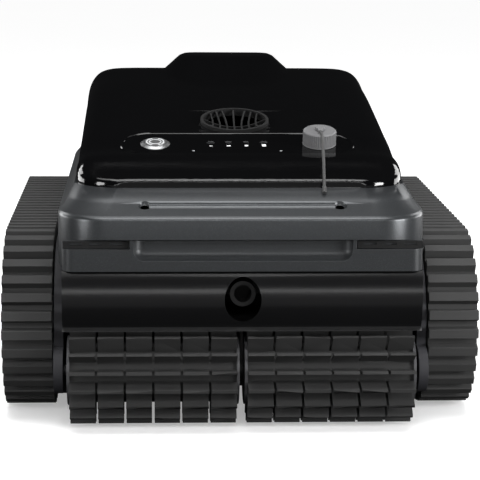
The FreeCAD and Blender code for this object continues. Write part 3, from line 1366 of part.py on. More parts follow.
def make_basket():
    """The filter basket under the lid: an open frame with mesh panels."""
    half, post = size("basket_half_width"), size("basket_post")
    y0, y1 = size("basket_front"), size("basket_front") + size("basket_depth")
    z0, z1 = size("basket_floor"), size("basket_floor") + size("basket_height")
    frame = block((-half, y0, z0), (half, y1, z1))
    frame = frame.cut(block((-half + post, y0 + post, z0 + 4), (half - post, y1 - post, z1 + 5)))
    window = 18
    frame = frame.cut(block((-half + window, y0 - 5, z0 + window), (half - window, y1 + 5, z1 - 14)))
    frame = frame.cut(block((-half - 5, y0 + window, z0 + window), (half + 5, y1 - window, z1 - 14)))
    spread, wide, deep = size("inlet_spread"), size("inlet_width"), size("inlet_depth")
    for side in (-1, 1):
        frame = frame.cut(block((side * spread - wide / 2, size("inlet_back") - deep / 2, z0 - 5),
                                (side * spread + wide / 2, size("inlet_back") + deep / 2, z0 + 10)))
    node("filter_basket", solid("basket", frame))
    sheets = []
    inner = post - 2.5
    for low, high in (((-half + window, y0 + inner, z0 + window), (half - window, y0 + inner + 1, z1 - 14)),
                      ((-half + window, y1 - inner - 1, z0 + window), (half - window, y1 - inner, z1 - 14)),
                      ((-half + inner, y0 + window, z0 + window), (-half + inner + 1, y1 - window, z1 - 14)),
                      ((half - inner - 1, y0 + window, z0 + window), (half - inner, y1 - window, z1 - 14))):
        sheets.append(block(low, high))
    node("filter_mesh", solid("mesh", Part.makeCompound(sheets)))


def make_screws():
    """Screws under the tray that hold the electronics box."""
    screws = []
    for x in (-80, 80):
        for y in (size("box_front") + 8, size("box_front") + size("box_depth") - 8):
            low = size("tray_bottom") - 1.5
            head = Part.makeCylinder(3.6, 1.5, Vector(x, y, low))
            slot = block((x - 2.6, y - 0.5, low - 1), (x + 2.6, y + 0.5, low + 0.8))
            screws.append(head.cut(slot))
    node("tray_screws", solid("screws", Part.makeCompound(screws)))


# ---------------------------------------------------------------- build and write

def check_document():
    """Stop if any object failed or any sub-part is not a valid solid."""
    for thing in doc.Objects:
        if "Invalid" in thing.State or "Error" in thing.State:
            raise RuntimeError(f"{thing.Name} ({thing.Label}) failed: {thing.State}")
    for thing in NODES:
        shape = thing.Shape
        if shape.isNull() or not shape.isValid() or not shape.Solids:
            raise RuntimeError(f"{thing.Label} is not a valid solid")


def write_parts():
    """Write each sub-part to its own file."""
    os.makedirs("parts", exist_ok=True)
    for thing in NODES:
        thing.Shape.exportStep(f"parts/{thing.Label}.step")
        bounds = thing.Shape.BoundBox
        print(f"{thing.Label:20s} solids {len(thing.Shape.Solids):3d}  volume {thing.Shape.Volume:10.0f}  "
              f"X {bounds.XMin:7.1f} {bounds.XMax:7.1f}  Y {bounds.YMin:7.1f} {bounds.YMax:7.1f}  "
              f"Z {bounds.ZMin:6.1f} {bounds.ZMax:6.1f}")


make_tray()
make_front_cover()
make_frame()
make_skirt()
make_top()
make_hinge_pins()
make_controls()
make_tether()
make_tracks()
make_side_plates()
make_brushes()
make_electronics()
make_pump()
make_drives()
make_basket()
make_screws()
doc.recompute()
check_document()
write_parts()
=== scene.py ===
"""Looks for a tracked pool cleaner: pieces, finishes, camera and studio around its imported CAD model."""
import json
import logging
import math
from dataclasses import dataclass, field
from enum import Enum
from typing import Any, Callable, Sequence

import bpy
import bmesh
from mathutils import Matrix, Vector

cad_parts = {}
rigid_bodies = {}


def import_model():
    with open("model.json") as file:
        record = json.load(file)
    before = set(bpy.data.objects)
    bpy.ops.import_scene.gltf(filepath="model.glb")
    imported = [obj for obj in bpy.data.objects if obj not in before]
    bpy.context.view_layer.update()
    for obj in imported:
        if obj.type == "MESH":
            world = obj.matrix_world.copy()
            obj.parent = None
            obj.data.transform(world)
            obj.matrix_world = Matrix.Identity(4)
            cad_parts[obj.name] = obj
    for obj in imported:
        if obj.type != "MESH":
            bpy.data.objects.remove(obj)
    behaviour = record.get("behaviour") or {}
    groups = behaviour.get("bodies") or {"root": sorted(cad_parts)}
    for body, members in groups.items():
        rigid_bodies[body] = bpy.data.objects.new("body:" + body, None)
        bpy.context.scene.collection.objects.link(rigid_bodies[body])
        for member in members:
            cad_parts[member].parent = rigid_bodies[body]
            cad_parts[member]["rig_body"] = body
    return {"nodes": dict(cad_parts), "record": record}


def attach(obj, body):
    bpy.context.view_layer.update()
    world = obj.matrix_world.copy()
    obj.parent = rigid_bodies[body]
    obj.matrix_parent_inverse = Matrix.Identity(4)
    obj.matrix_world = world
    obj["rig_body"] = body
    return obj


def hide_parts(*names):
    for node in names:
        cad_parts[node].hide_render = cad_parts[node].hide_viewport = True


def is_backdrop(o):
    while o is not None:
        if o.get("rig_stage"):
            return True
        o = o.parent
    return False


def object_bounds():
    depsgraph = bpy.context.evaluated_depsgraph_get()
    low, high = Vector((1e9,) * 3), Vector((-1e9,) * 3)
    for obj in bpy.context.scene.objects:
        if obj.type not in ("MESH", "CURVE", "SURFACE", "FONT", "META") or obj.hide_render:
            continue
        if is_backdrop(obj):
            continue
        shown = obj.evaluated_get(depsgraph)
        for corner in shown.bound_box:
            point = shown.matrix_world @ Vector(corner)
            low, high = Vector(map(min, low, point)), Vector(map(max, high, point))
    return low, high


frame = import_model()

log = logging.getLogger("pool_cleaner")

Colour = tuple[float, float, float]
Point = tuple[float, float, float]
Thing = bpy.types.Object


def write_box(label: str, store: dict[str, Any]) -> None:
    low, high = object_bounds()
    store[label] = [[float(v) for v in low], [float(v) for v in high]]


# ------------------------------------------------------------------ shader nodes

class Flow:
    """A node's output socket, whose arithmetic adds Math nodes."""

    def __init__(self, bench: "NodeBench", socket: bpy.types.NodeSocket) -> None:
        """Wrap a socket of a bench's tree."""
        self.bench = bench
        self.socket = socket

    def _math(self, operation: str, *values: Any) -> "Flow":
        """Add a Math node on these values."""
        return self.bench.add("ShaderNodeMath", {"operation": operation}, dict(enumerate(values)))

    def __add__(self, other: Any) -> "Flow":
        """Sum."""
        return self._math("ADD", self, other)

    def __radd__(self, other: Any) -> "Flow":
        """Sum, reflected."""
        return self._math("ADD", other, self)

    def __sub__(self, other: Any) -> "Flow":
        """Difference."""
        return self._math("SUBTRACT", self, other)

    def __rsub__(self, other: Any) -> "Flow":
        """Difference, reflected."""
        return self._math("SUBTRACT", other, self)

    def __mul__(self, other: Any) -> "Flow":
        """Product."""
        return self._math("MULTIPLY", self, other)

    def __rmul__(self, other: Any) -> "Flow":
        """Product, reflected."""
        return self._math("MULTIPLY", other, self)

    def above(self, level: float) -> "Flow":
        """One where the value is over the level, zero elsewhere."""
        return self._math("GREATER_THAN", self, level)


class NodeBench:
    """Makes one material's nodes."""

    def __init__(self, name: str) -> None:
        """Start a material with a plain shader."""
        self.material = bpy.data.materials.new(name)
        self.material.use_nodes = True
        self.tree = self.material.node_tree
        self.shader = self.tree.nodes["Principled BSDF"]

    def add(self, kind: str, settings: dict[str, Any] | None = None,
            inputs: dict[Any, Any] | None = None, output: Any = 0) -> Flow:
        """Add a node.

        Args:
            kind: the node's type.
            settings: the node's own properties, set first.
            inputs: values or flows for its sockets, by name or number.
            output: which output to hand back.

        Returns:
            The output as a flow.
        """
        node = self.tree.nodes.new(kind)
        for key, value in (settings or {}).items():
            setattr(node, key, value)
        for key, value in (inputs or {}).items():
            if isinstance(value, Flow):
                self.tree.links.new(value.socket, node.inputs[key])
            else:
                node.inputs[key].default_value = value
        return Flow(self, node.outputs[output])

    def place(self) -> Flow:
        """Where a point is on the object, in metres."""
        return self.add("ShaderNodeTexCoord", output="Object")

    def noise(self, where: Flow, grain: float, detail: float = 3.0, rough: float = 0.55) -> Flow:
        """Smooth random values whose features are about grain metres across."""
        return self.add("ShaderNodeTexNoise", None, {"Vector": where, "Scale": 1 / grain,
                                                     "Detail": detail, "Roughness": rough})

    def stretched(self, where: Flow, scale: Point) -> Flow:
        """The place, scaled by axis."""
        return self.add("ShaderNodeMapping", None, {"Vector": where, "Scale": scale})

    def mix(self, share: Any, first: Any, second: Any) -> Flow:
        """A colour between two colours."""
        def rgba(value: Any) -> Any:
            return value if isinstance(value, Flow) else (*value, 1)
        node = self.tree.nodes.new("ShaderNodeMix")
        node.data_type = "RGBA"
        for socket, value in ((node.inputs[0], share), (node.inputs[6], rgba(first)),
                              (node.inputs[7], rgba(second))):
            if isinstance(value, Flow):
                self.tree.links.new(value.socket, socket)
            else:
                socket.default_value = value
        return Flow(self, node.outputs[2])

    def feed(self, socket: str, value: Any) -> None:
        """Give the shader's socket a value or a flow."""
        if isinstance(value, Flow):
            self.tree.links.new(value.socket, self.shader.inputs[socket])
        elif isinstance(value, tuple) and len(value) == 3:
            self.shader.inputs[socket].default_value = (*value, 1)
        else:
            self.shader.inputs[socket].default_value = value

    def bump(self, height: Flow, depth: float) -> None:
        """Raise the surface by a height from 0 to 1, times a depth in metres."""
        normal = self.add("ShaderNodeBump", None, {"Height": height, "Distance": depth,
                                                   "Strength": 1.0})
        self.feed("Normal", normal)


# ------------------------------------------------------------------ finishes

@dataclass(frozen=True)
class Moulded:
    """Moulded plastic or rubber with a fine etched grain."""

    name: str
    colour: Colour
    roughness: float = 0.5
    grain: float = 0.0007
    relief: float = 0.00006
    mottle: float = 0.12
    metallic: float = 0.0
    specular: float = 0.32

    def build(self) -> bpy.types.Material:
        """Make the material."""
        bench = NodeBench(self.name)
        where = bench.place()
        fine = bench.noise(where, self.grain, 2.0)
        broad = bench.noise(where, 0.045, 4.0)
        dark = tuple(c * (1 - self.mottle) for c in self.colour)
        light = tuple(c * (1 + self.mottle) for c in self.colour)
        bench.feed("Base Color", bench.mix(broad, dark, light))
        bench.feed("Roughness", self.roughness - 0.05 + broad * 0.1)
        bench.feed("Metallic", self.metallic)
        bench.feed("Specular IOR Level", self.specular)
        bench.bump(fine, self.relief)
        return bench.material


@dataclass(frozen=True)
class FlakePaint:
    """Satin paint with fine metal flakes."""

    name: str
    colour: Colour
    flake: Colour
    roughness: float = 0.3
    metallic: float = 0.5

    def build(self) -> bpy.types.Material:
        """Make the material."""
        bench = NodeBench(self.name)
        where = bench.place()
        flakes = bench.add("ShaderNodeTexVoronoi", {"feature": "F1"},
                           {"Vector": where, "Scale": 2600.0}, "Color")
        spark = bench.add("ShaderNodeSeparateColor", None, {0: flakes}).above(0.82)
        broad = bench.noise(where, 0.06, 4.0)
        bench.feed("Base Color", bench.mix(spark * 0.12, self.colour, self.flake))
        bench.feed("Roughness", self.roughness - 0.03 + broad * 0.06)
        bench.feed("Metallic", self.metallic)
        bench.feed("Specular IOR Level", 0.5)
        bench.bump(bench.noise(where, 0.0011, 1.0), 0.000008)
        return bench.material


@dataclass(frozen=True)
class Gloss:
    """Deep gloss plastic with faint wipe marks."""

    name: str
    colour: Colour
    roughness: float = 0.055
    smudge: float = 0.035
    specular: float = 0.5

    def build(self) -> bpy.types.Material:
        """Make the material."""
        bench = NodeBench(self.name)
        where = bench.place()
        wipes = bench.noise(bench.stretched(where, (1.0, 0.25, 1.0)), 0.03, 5.0, 0.65)
        broad = bench.noise(where, 0.12, 2.0)
        bench.feed("Base Color", bench.mix(broad, self.colour, tuple(c * 1.25 for c in self.colour)))
        bench.feed("Roughness", self.roughness + wipes * self.smudge)
        bench.feed("Specular IOR Level", self.specular)
        bench.bump(bench.noise(where, 0.03, 1.0), 0.00003)
        return bench.material


@dataclass(frozen=True)
class Turned:
    """Bare metal with fine tool lines round one axis."""

    name: str
    colour: Colour
    axis: int = 0
    roughness: float = 0.32

    def build(self) -> bpy.types.Material:
        """Make the material."""
        bench = NodeBench(self.name)
        scale = [0.12, 0.12, 0.12]
        scale[self.axis] = 1.0
        lines = bench.noise(bench.stretched(bench.place(), tuple(scale)), 0.0005, 3.0)
        bench.feed("Base Color", bench.mix(lines, tuple(c * 0.85 for c in self.colour), self.colour))
        bench.feed("Roughness", self.roughness - 0.06 + lines * 0.14)
        bench.feed("Metallic", 1.0)
        bench.bump(lines, 0.00002)
        return bench.material


@dataclass(frozen=True)
class Woven:
    """Fine woven filter cloth."""

    name: str
    colour: Colour
    pitch: float = 0.0012

    def build(self) -> bpy.types.Material:
        """Make the material."""
        bench = NodeBench(self.name)
        where = bench.place()
        bands = [bench.add("ShaderNodeTexWave", {"bands_direction": axis},
                           {"Vector": where, "Scale": 0.31 / self.pitch, "Distortion": 0.3})
                 for axis in ("X", "Z")]
        weave = bands[0] * 0.5 + bands[1] * 0.5
        bench.feed("Base Color", bench.mix(weave, tuple(c * 0.45 for c in self.colour), self.colour))
        bench.feed("Roughness", 0.8)
        bench.bump(weave, 0.0003)
        return bench.material


@dataclass(frozen=True)
class Board:
    """Circuit board lacquer over copper tracks."""

    name: str
    colour: Colour
    copper: Colour

    def build(self) -> bpy.types.Material:
        """Make the material."""
        bench = NodeBench(self.name)
        bricks = bench.add("ShaderNodeTexBrick", None,
                           {"Vector": bench.place(), "Scale": 90.0, "Mortar Size": 0.04},
                           "Fac")
        bench.feed("Base Color", bench.mix(bricks * 0.7, self.colour, self.copper))
        bench.feed("Roughness", 0.35 + bricks * 0.1)
        bench.bump(bricks, 0.00005)
        return bench.material


@dataclass(frozen=True)
class Lit:
    """A small window with light behind it."""

    name: str
    colour: Colour
    glow: float
    dark_beyond: float = 1.0

    def build(self) -> bpy.types.Material:
        """Make the material; windows further back than dark_beyond are unlit."""
        bench = NodeBench(self.name)
        where = bench.place()
        cloud = bench.noise(where, 0.002, 2.0)
        lit = bench.mix(cloud, tuple(c * 0.85 for c in self.colour), self.colour)
        back = bench.add("ShaderNodeSeparateXYZ", None, {0: where}, 1).above(self.dark_beyond)
        shade = bench.mix(back, lit, (0.004, 0.004, 0.0044))
        bench.feed("Base Color", shade)
        bench.feed("Roughness", 0.3)
        bench.feed("Emission Color", shade)
        bench.feed("Emission Strength", self.glow)
        return bench.material


class Coat(Enum):
    """The finishes that this machine is made in."""

    TRACK = Moulded("track_rubber", (0.0065, 0.0068, 0.0072), 0.66, 0.0011, 0.00012, 0.18,
                    specular=0.05)
    WHEEL = Moulded("wheel_plastic", (0.028, 0.028, 0.03), 0.45)
    PLATE = Moulded("plate_plastic", (0.014, 0.014, 0.015), 0.4)
    BAND = FlakePaint("frame_satin", (0.042, 0.045, 0.048), (0.22, 0.23, 0.24))
    SKIRT = FlakePaint("skirt_satin", (0.025, 0.027, 0.029), (0.15, 0.16, 0.17), 0.42, 0.35)
    SHELL = Gloss("shell_gloss", (0.002, 0.002, 0.0022))
    PANEL = Gloss("panel_gloss", (0.0018, 0.0018, 0.002), 0.07, 0.04)
    NOSE = Gloss("nose_semi_gloss", (0.005, 0.005, 0.0053), 0.17, 0.05, 0.4)
    BLACK = Moulded("fine_black", (0.01, 0.01, 0.0105), 0.5)
    # partly the parts' own black and partly painted shade: this darker black stands in for the shade in
    # the vent recesses, the jet port and the outlet grille
    SOOT = Moulded("deep_black", (0.004, 0.004, 0.0042), 0.7)
    BRUSH = Moulded("brush_rubber", (0.0045, 0.0045, 0.0048), 0.62, 0.0009, 0.0001, 0.2,
                    specular=0.05)
    ROLLER = Moulded("roller_plastic", (0.04, 0.041, 0.043), 0.42)
    ACETAL = Moulded("natural_acetal", (0.68, 0.66, 0.6), 0.38, 0.001, 0.00003, 0.04)
    STEEL = Turned("turned_steel", (0.55, 0.55, 0.56))
    ZINC = Turned("zinc_plate", (0.4, 0.41, 0.43), 2, 0.4)
    CELLS = Moulded("cell_wrap", (0.04, 0.14, 0.32), 0.25, 0.004, 0.00002, 0.06)
    BOARD = Board("board_lacquer", (0.012, 0.1, 0.03), (0.25, 0.3, 0.1))
    BRASS = Turned("contact_plate", (0.8, 0.6, 0.25), 2, 0.25)
    LIGHT = Lit("icon_light", (0.8, 0.81, 0.82), 0.5, -0.109)
    SILVER = Turned("satin_silver", (0.32, 0.325, 0.33), 2, 0.38)
    CAP = Moulded("cap_grey", (0.1, 0.1, 0.104), 0.42, 0.0008, 0.00004, 0.06)
    TETHER = Moulded("tether_rubber", (0.03, 0.03, 0.032), 0.4, 0.0006, 0.00002, 0.1)
    MARK = Moulded("printed_mark", (0.62, 0.63, 0.64), 0.45, 0.0006, 0.00001, 0.05)
    OUTLINE = Lit("icon_outline", (0.36, 0.37, 0.38), 0.1)
    SEAL = Moulded("seal_rubber", (0.02, 0.02, 0.021), 0.6)
    BASKET = Moulded("basket_plastic", (0.2, 0.21, 0.22), 0.4)
    CLOTH = Woven("filter_cloth", (0.6, 0.6, 0.57))

    def material(self) -> bpy.types.Material:
        """The built material, made once."""
        found = bpy.data.materials.get(self.value.name)
        return found or self.value.build()


# ------------------------------------------------------------------ workbench

@dataclass(frozen=True)
class Workbench:
    """Operators used as by hand, one piece at a time."""

    merge_gap: float = 0.000002
    flat_angle: float = 0.4
    bevel_rounds: int = 2

    def clear(self) -> None:
        """Deselect everything."""
        if bpy.context.object and bpy.context.object.mode != "OBJECT":
            bpy.ops.object.mode_set(mode="OBJECT")
        for thing in bpy.context.view_layer.objects:
            thing.select_set(False)

    def take(self, thing: Thing) -> None:
        """Make one object the selected and active one."""
        self.clear()
        thing.select_set(True)
        bpy.context.view_layer.objects.active = thing

    def settle(self, thing: Thing, name: str) -> Thing:
        """Name a piece and put its place into its mesh."""
        self.take(thing)
        bpy.ops.object.transform_apply(location=True, rotation=True, scale=True)
        thing.name = name
        thing.data.name = name
        return thing

    def copy_of(self, node: str, name: str) -> Thing:
        """A merged copy of a CAD node's mesh, as a new object."""
        source = frame["nodes"][node]
        thing = bpy.data.objects.new(name, source.data.copy())
        bpy.context.scene.collection.objects.link(thing)
        self.take(thing)
        bpy.ops.object.mode_set(mode="EDIT")
        bpy.ops.mesh.select_all(action="SELECT")
        bpy.ops.mesh.remove_doubles(threshold=self.merge_gap)
        bpy.ops.object.mode_set(mode="OBJECT")
        return thing

    def smooth(self, thing: Thing, degrees: float = 32.0, bevel: float = 0.0) -> Thing:
        """Round a piece's edges a little and smooth its shading."""
        self.take(thing)
        if bevel > 0:
            bpy.ops.object.mode_set(mode="EDIT")
            bpy.ops.mesh.select_all(action="SELECT")
            bpy.ops.mesh.dissolve_limited(angle_limit=math.radians(self.flat_angle))
            bpy.ops.object.mode_set(mode="OBJECT")
            tool = thing.modifiers.new("edges", "BEVEL")
            tool.width = bevel
            tool.segments = self.bevel_rounds
            tool.limit_method = "ANGLE"
            tool.angle_limit = math.radians(degrees)
            tool.use_clamp_overlap = True
            bpy.ops.object.modifier_apply(modifier=tool.name)
        bpy.ops.object.shade_smooth_by_angle(angle=math.radians(degrees))
        tool = thing.modifiers.new("weighted", "WEIGHTED_NORMAL")
        tool.keep_sharp = True
        bpy.ops.object.modifier_apply(modifier=tool.name)
        return thing

    def pick(self, thing: Thing, test: Callable[[Vector, Vector], bool]) -> None:
        """Go into edit mode with the faces selected whose middle and normal pass a test."""
        if bpy.context.object is not thing or thing.mode != "EDIT":
            self.take(thing)
            bpy.ops.object.mode_set(mode="EDIT")
        bpy.ops.mesh.select_mode(type="FACE")
        bpy.ops.mesh.select_all(action="DESELECT")
        mesh = bmesh.from_edit_mesh(thing.data)
        for face in mesh.faces:
            face.select_set(test(face.calc_center_median(), face.normal))
        mesh.select_flush_mode()
        bmesh.update_edit_mesh(thing.data)

    def push(self, distance: float) -> None:
        """Extrude the selected faces along local Z."""
        bpy.ops.mesh.extrude_region_move(TRANSFORM_OT_translate={"value": (0, 0, distance)})

    def drum(self, radius: float, low: float, high: float, sides: int = 64) -> Thing:
        """A closed drum standing on the local plane, ready to be worked."""
        self.clear()
        bpy.ops.mesh.primitive_cylinder_add(vertices=sides, radius=radius, depth=high - low,
                                            location=(0, 0, (low + high) / 2))
        drum = bpy.context.object
        bpy.ops.object.transform_apply(location=True, rotation=False, scale=False)
        return drum

    def band(self, outer: float, inner: float, low: float, high: float, sides: int = 64) -> Thing:
        """A flat ring."""
        ring = self.drum(outer, low, high, sides)
        self.pick(ring, lambda spot, normal: abs(normal.z) > 0.9)
        bpy.ops.mesh.inset(thickness=outer - inner)
        bpy.ops.mesh.bridge_edge_loops()
        bpy.ops.object.mode_set(mode="OBJECT")
        return ring

    def join(self, things: Sequence[Thing], name: str) -> Thing:
        """One object from several."""
        self.clear()
        for thing in things:
            thing.select_set(True)
        bpy.context.view_layer.objects.active = things[0]
        if len(things) > 1:
            bpy.ops.object.join()
        things[0].name = name
        things[0].data.name = name
        return things[0]

    def seat(self, thing: Thing, middle: Point, tilt: float, name: str) -> Thing:
        """Tilt a piece made on the local plane, and stand it at a point."""
        thing.rotation_euler = (math.radians(tilt), 0, 0)
        thing.location = middle
        return self.settle(thing, name)

    def triangles(self, thing: Thing) -> int:
        """How many triangles a mesh has."""
        thing.data.calc_loop_triangles()
        return len(thing.data.loop_triangles)

    def hand_over(self, thing: Thing, coat: Coat, body: str, slot: str, *nodes: str) -> Thing:
        """Dress a piece, put it on its body and hide the CAD nodes that it stands for.

        Args:
            thing: the finished piece.
            coat: its finish.
            body: the CAD body that it rides on.
            slot: the record's material slot; not used.
            nodes: the CAD nodes that it replaces.

        Returns:
            The same piece.
        """
        thing.data.materials.clear()
        thing.data.materials.append(coat.material())
        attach(thing, body)
        if nodes:
            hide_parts(*nodes)
        if thing.type == "MESH":
            log.info("%s: %d triangles", thing.name, self.triangles(thing))
        return thing

    def reshelled(self, node: str, coat: Coat, degrees: float = 32.0, bevel: float = 0.0) -> Thing:
        """A finished piece in a CAD node's shape, with worked edges and smooth shading."""
        thing = self.smooth(self.copy_of(node, f"{node}_skin"), degrees, bevel)
        return self.hand_over(thing, coat, body_of(node), slot_of(node), node)

    def dress(self, node: str, coat: Coat) -> None:
        """Give a carried-over CAD node its finish."""
        thing = frame["nodes"][node]
        if not thing.data.materials:
            thing.data.materials.append(coat.material())
        for slot in thing.material_slots:
            slot.material = coat.material()
        log.info("%s: finish %s", node, coat.value.name)


BENCH = Workbench()


def body_of(node: str) -> str:
    """The CAD body that a node belongs to."""
    return frame["nodes"][node]["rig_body"]


def slot_of(node: str) -> str:
    """The record's material slot of a node."""
    for part in frame["record"]["subparts"]:
        if part["node"] == node:
            return part["material_slot"]
    raise ValueError(f"no material slot for {node}")


# ------------------------------------------------------------------ studio

@dataclass(frozen=True)
class Softbox:
    """One soft rectangular light: its name, place, aim, size in metres and power in watts."""

    name: str
    spot: Point
    aim: Point
    size: tuple[float, float]
    power: float

    def hang(self) -> None:
        """Add the light, turned to its aim."""
        bpy.ops.object.light_add(type="AREA", location=self.spot)
        lamp = bpy.context.object
        lamp.name = self.name
        lamp.data.shape = "RECTANGLE"
        lamp.data.size, lamp.data.size_y = self.size
        lamp.data.energy = self.power
        ahead = Vector(self.aim) - Vector(self.spot)
        lamp.rotation_euler = ahead.to_track_quat("-Z", "Y").to_euler()


@dataclass
class Studio:
    """A pale floor, soft lights and the camera."""

    eye: Point = (-0.0769, -1.7072, 0.4435)
    yaw: float = 0.050
    pitch: float = 0.186
    roll: float = 0.008
    lens: float = 135.0
    sensor: float = 36.0
    floor_half: float = 14.0
    floor_level: float = -0.0006
    floor_light: float = 0.78
    shade_start: float = 0.3
    shade_end: float = 1.8
    sky_energy: float = 0.7
    sky_spread: float = 40.0
    sky_turn: tuple[float, float] = (-14.0, -5.0)
    air_tint: Colour = (0.93, 0.96, 1.0)
    air_light: float = 0.01
    softboxes: tuple[Softbox, ...] = (
        Softbox("overhead", (0.0, -0.45, 1.5), (0, -0.2, 0.2), (1.3, 0.6), 17),
        Softbox("front_strip", (0.0, -2.0, 1.5), (0, -0.2, 0.17), (1.7, 0.3), 14),
        Softbox("low_strip", (0.0, -2.2, 0.22), (0, -0.2, 0.12), (1.6, 0.12), 3),
        Softbox("corner_left", (-1.45, -1.0, 0.42), (0, -0.2, 0.17), (0.5, 0.8), 13),
        Softbox("corner_right", (1.5, -1.0, 0.42), (0, -0.2, 0.17), (0.6, 0.8), 34),
        Softbox("slope_glow", (0.0, 0.4, 1.5), (0, -0.1, 0.22), (0.9, 0.5), 1.6),
        Softbox("rear_left", (-1.5, 1.3, 1.1), (0, 0.2, 0.15), (0.8, 0.8), 9),
        Softbox("rear_right", (1.5, 1.3, 1.1), (0, 0.2, 0.15), (0.8, 0.8), 9),
        Softbox("side_left", (-1.1, 0.5, 0.25), (-0.15, -0.2, 0.17), (0.8, 0.4), 5),
        Softbox("side_right", (1.1, 0.5, 0.25), (0.15, -0.2, 0.17), (0.8, 0.4), 5),
        Softbox("floor_glow", (0.0, -0.8, 0.03), (0, -0.2, 0.12), (1.4, 0.3), 0.3))

    def set_camera(self) -> None:
        """Stand the camera where the machine is seen from its front and a little above."""
        ahead = Vector((math.sin(self.yaw) * math.cos(self.pitch),
                        math.cos(self.yaw) * math.cos(self.pitch), -math.sin(self.pitch)))
        right = Vector((math.cos(self.yaw), -math.sin(self.yaw), 0))
        up = right.cross(ahead)
        side = math.cos(self.roll) * right + math.sin(self.roll) * up
        top = -math.sin(self.roll) * right + math.cos(self.roll) * up
        bpy.ops.object.camera_add(location=self.eye)
        camera = bpy.context.object
        camera.name = "camera"
        camera.data.lens = self.lens
        camera.data.sensor_width = self.sensor
        camera.data.clip_end = 100.0
        turn = Matrix((side, top, -ahead)).transposed().to_4x4()
        camera.matrix_world = Matrix.Translation(Vector(self.eye)) @ turn
        bpy.context.scene.camera = camera

    def lay_floor(self) -> None:
        """Lay one wide pale floor under the machine, which lights and mirrors nothing; its glow is dimmer
        near the machine, a painted shadow.
        """
        BENCH.clear()
        bpy.ops.mesh.primitive_plane_add(size=2, location=(0, 0, self.floor_level))
        floor = bpy.context.object
        floor.scale = (self.floor_half, self.floor_half, 1)
        BENCH.settle(floor, "floor")
        bench = NodeBench("floor_pale")
        tone = bench.noise(bench.place(), 0.8, 2.0)
        bench.feed("Base Color", bench.mix(tone, (0.8, 0.8, 0.8), (0.83, 0.83, 0.83)))
        bench.feed("Roughness", 0.9)
        bench.feed("Specular IOR Level", 0.0)
        # painted shadow: the floor's glow fades from 0.45 at the machine to full white from shade_end
        # outward
        away = bench.add("ShaderNodeVectorMath", {"operation": "LENGTH"}, {0: bench.place()}, "Value")
        painted_shadow_fade = bench.add("ShaderNodeMapRange", None, {"Value": away, "From Min": self.shade_start,
                                                     "From Max": self.shade_end})
        bench.feed("Emission Color", bench.mix(painted_shadow_fade, (0.45, 0.45, 0.45), (1.0, 1.0, 1.0)))
        bench.feed("Emission Strength", self.floor_light)
        floor.data.materials.append(bench.material)
        floor.visible_glossy = False
        floor.visible_diffuse = False
        floor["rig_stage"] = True

    def light(self) -> None:
        """Light the set with a wide dim sky, the softboxes and a faint glow from the air."""
        BENCH.clear()
        bpy.ops.object.light_add(type="SUN", location=(0, 0, 4))
        sky = bpy.context.object
        sky.name = "sky"
        sky.data.energy = self.sky_energy
        sky.data.angle = math.radians(self.sky_spread)
        sky.rotation_euler = (*(math.radians(turn) for turn in self.sky_turn), 0)
        for softbox in self.softboxes:
            softbox.hang()
        world = bpy.data.worlds.new("studio_air")
        bpy.context.scene.world = world
        world.use_nodes = True
        back = world.node_tree.nodes["Background"]
        back.inputs["Color"].default_value = (*self.air_tint, 1)
        back.inputs["Strength"].default_value = self.air_light
        bpy.context.scene.view_settings.view_transform = "Standard"

    def build(self) -> None:
        """Set up the whole studio."""
        self.set_camera()
        self.lay_floor()
        self.light()


# ------------------------------------------------------------------ sub-assemblies

@dataclass
class Tether:
    """The rubber strap that keeps the charging cap on the machine."""

    diameter: float = 0.0026
    length: float = 0.082
    route: tuple[Point, ...] = (
        (0.0735, -0.1222, 0.2428), (0.0738, -0.1315, 0.2408), (0.0736, -0.1405, 0.2356),
        (0.0732, -0.1492, 0.2302), (0.0728, -0.1584, 0.2260), (0.0722, -0.1680, 0.2220),
        (0.0715, -0.1778, 0.2178), (0.0709, -0.1872, 0.2120), (0.0705, -0.1935, 0.2046))

    def build(self) -> Thing:
        """Lay the strap as one smooth curve."""
        line = bpy.data.curves.new("cap_strap", "CURVE")
        line.dimensions = "3D"
        spline = line.splines.new("NURBS")
        spline.points.add(len(self.route) - 1)
        for knot, spot in zip(spline.points, self.route):
            knot.co = (*spot, 1.0)
        spline.order_u = 3
        spline.use_endpoint_u = True
        spline.resolution_u = 12
        line.bevel_depth = self.diameter / 2
        line.bevel_resolution = 4
        line.use_fill_caps = True
        strap = bpy.data.objects.new("cap_strap", line)
        bpy.context.scene.collection.objects.link(strap)
        BENCH.hand_over(strap, Coat.TETHER, "cap_swivel", "tether_rubber", "cap_tether")
        return strap


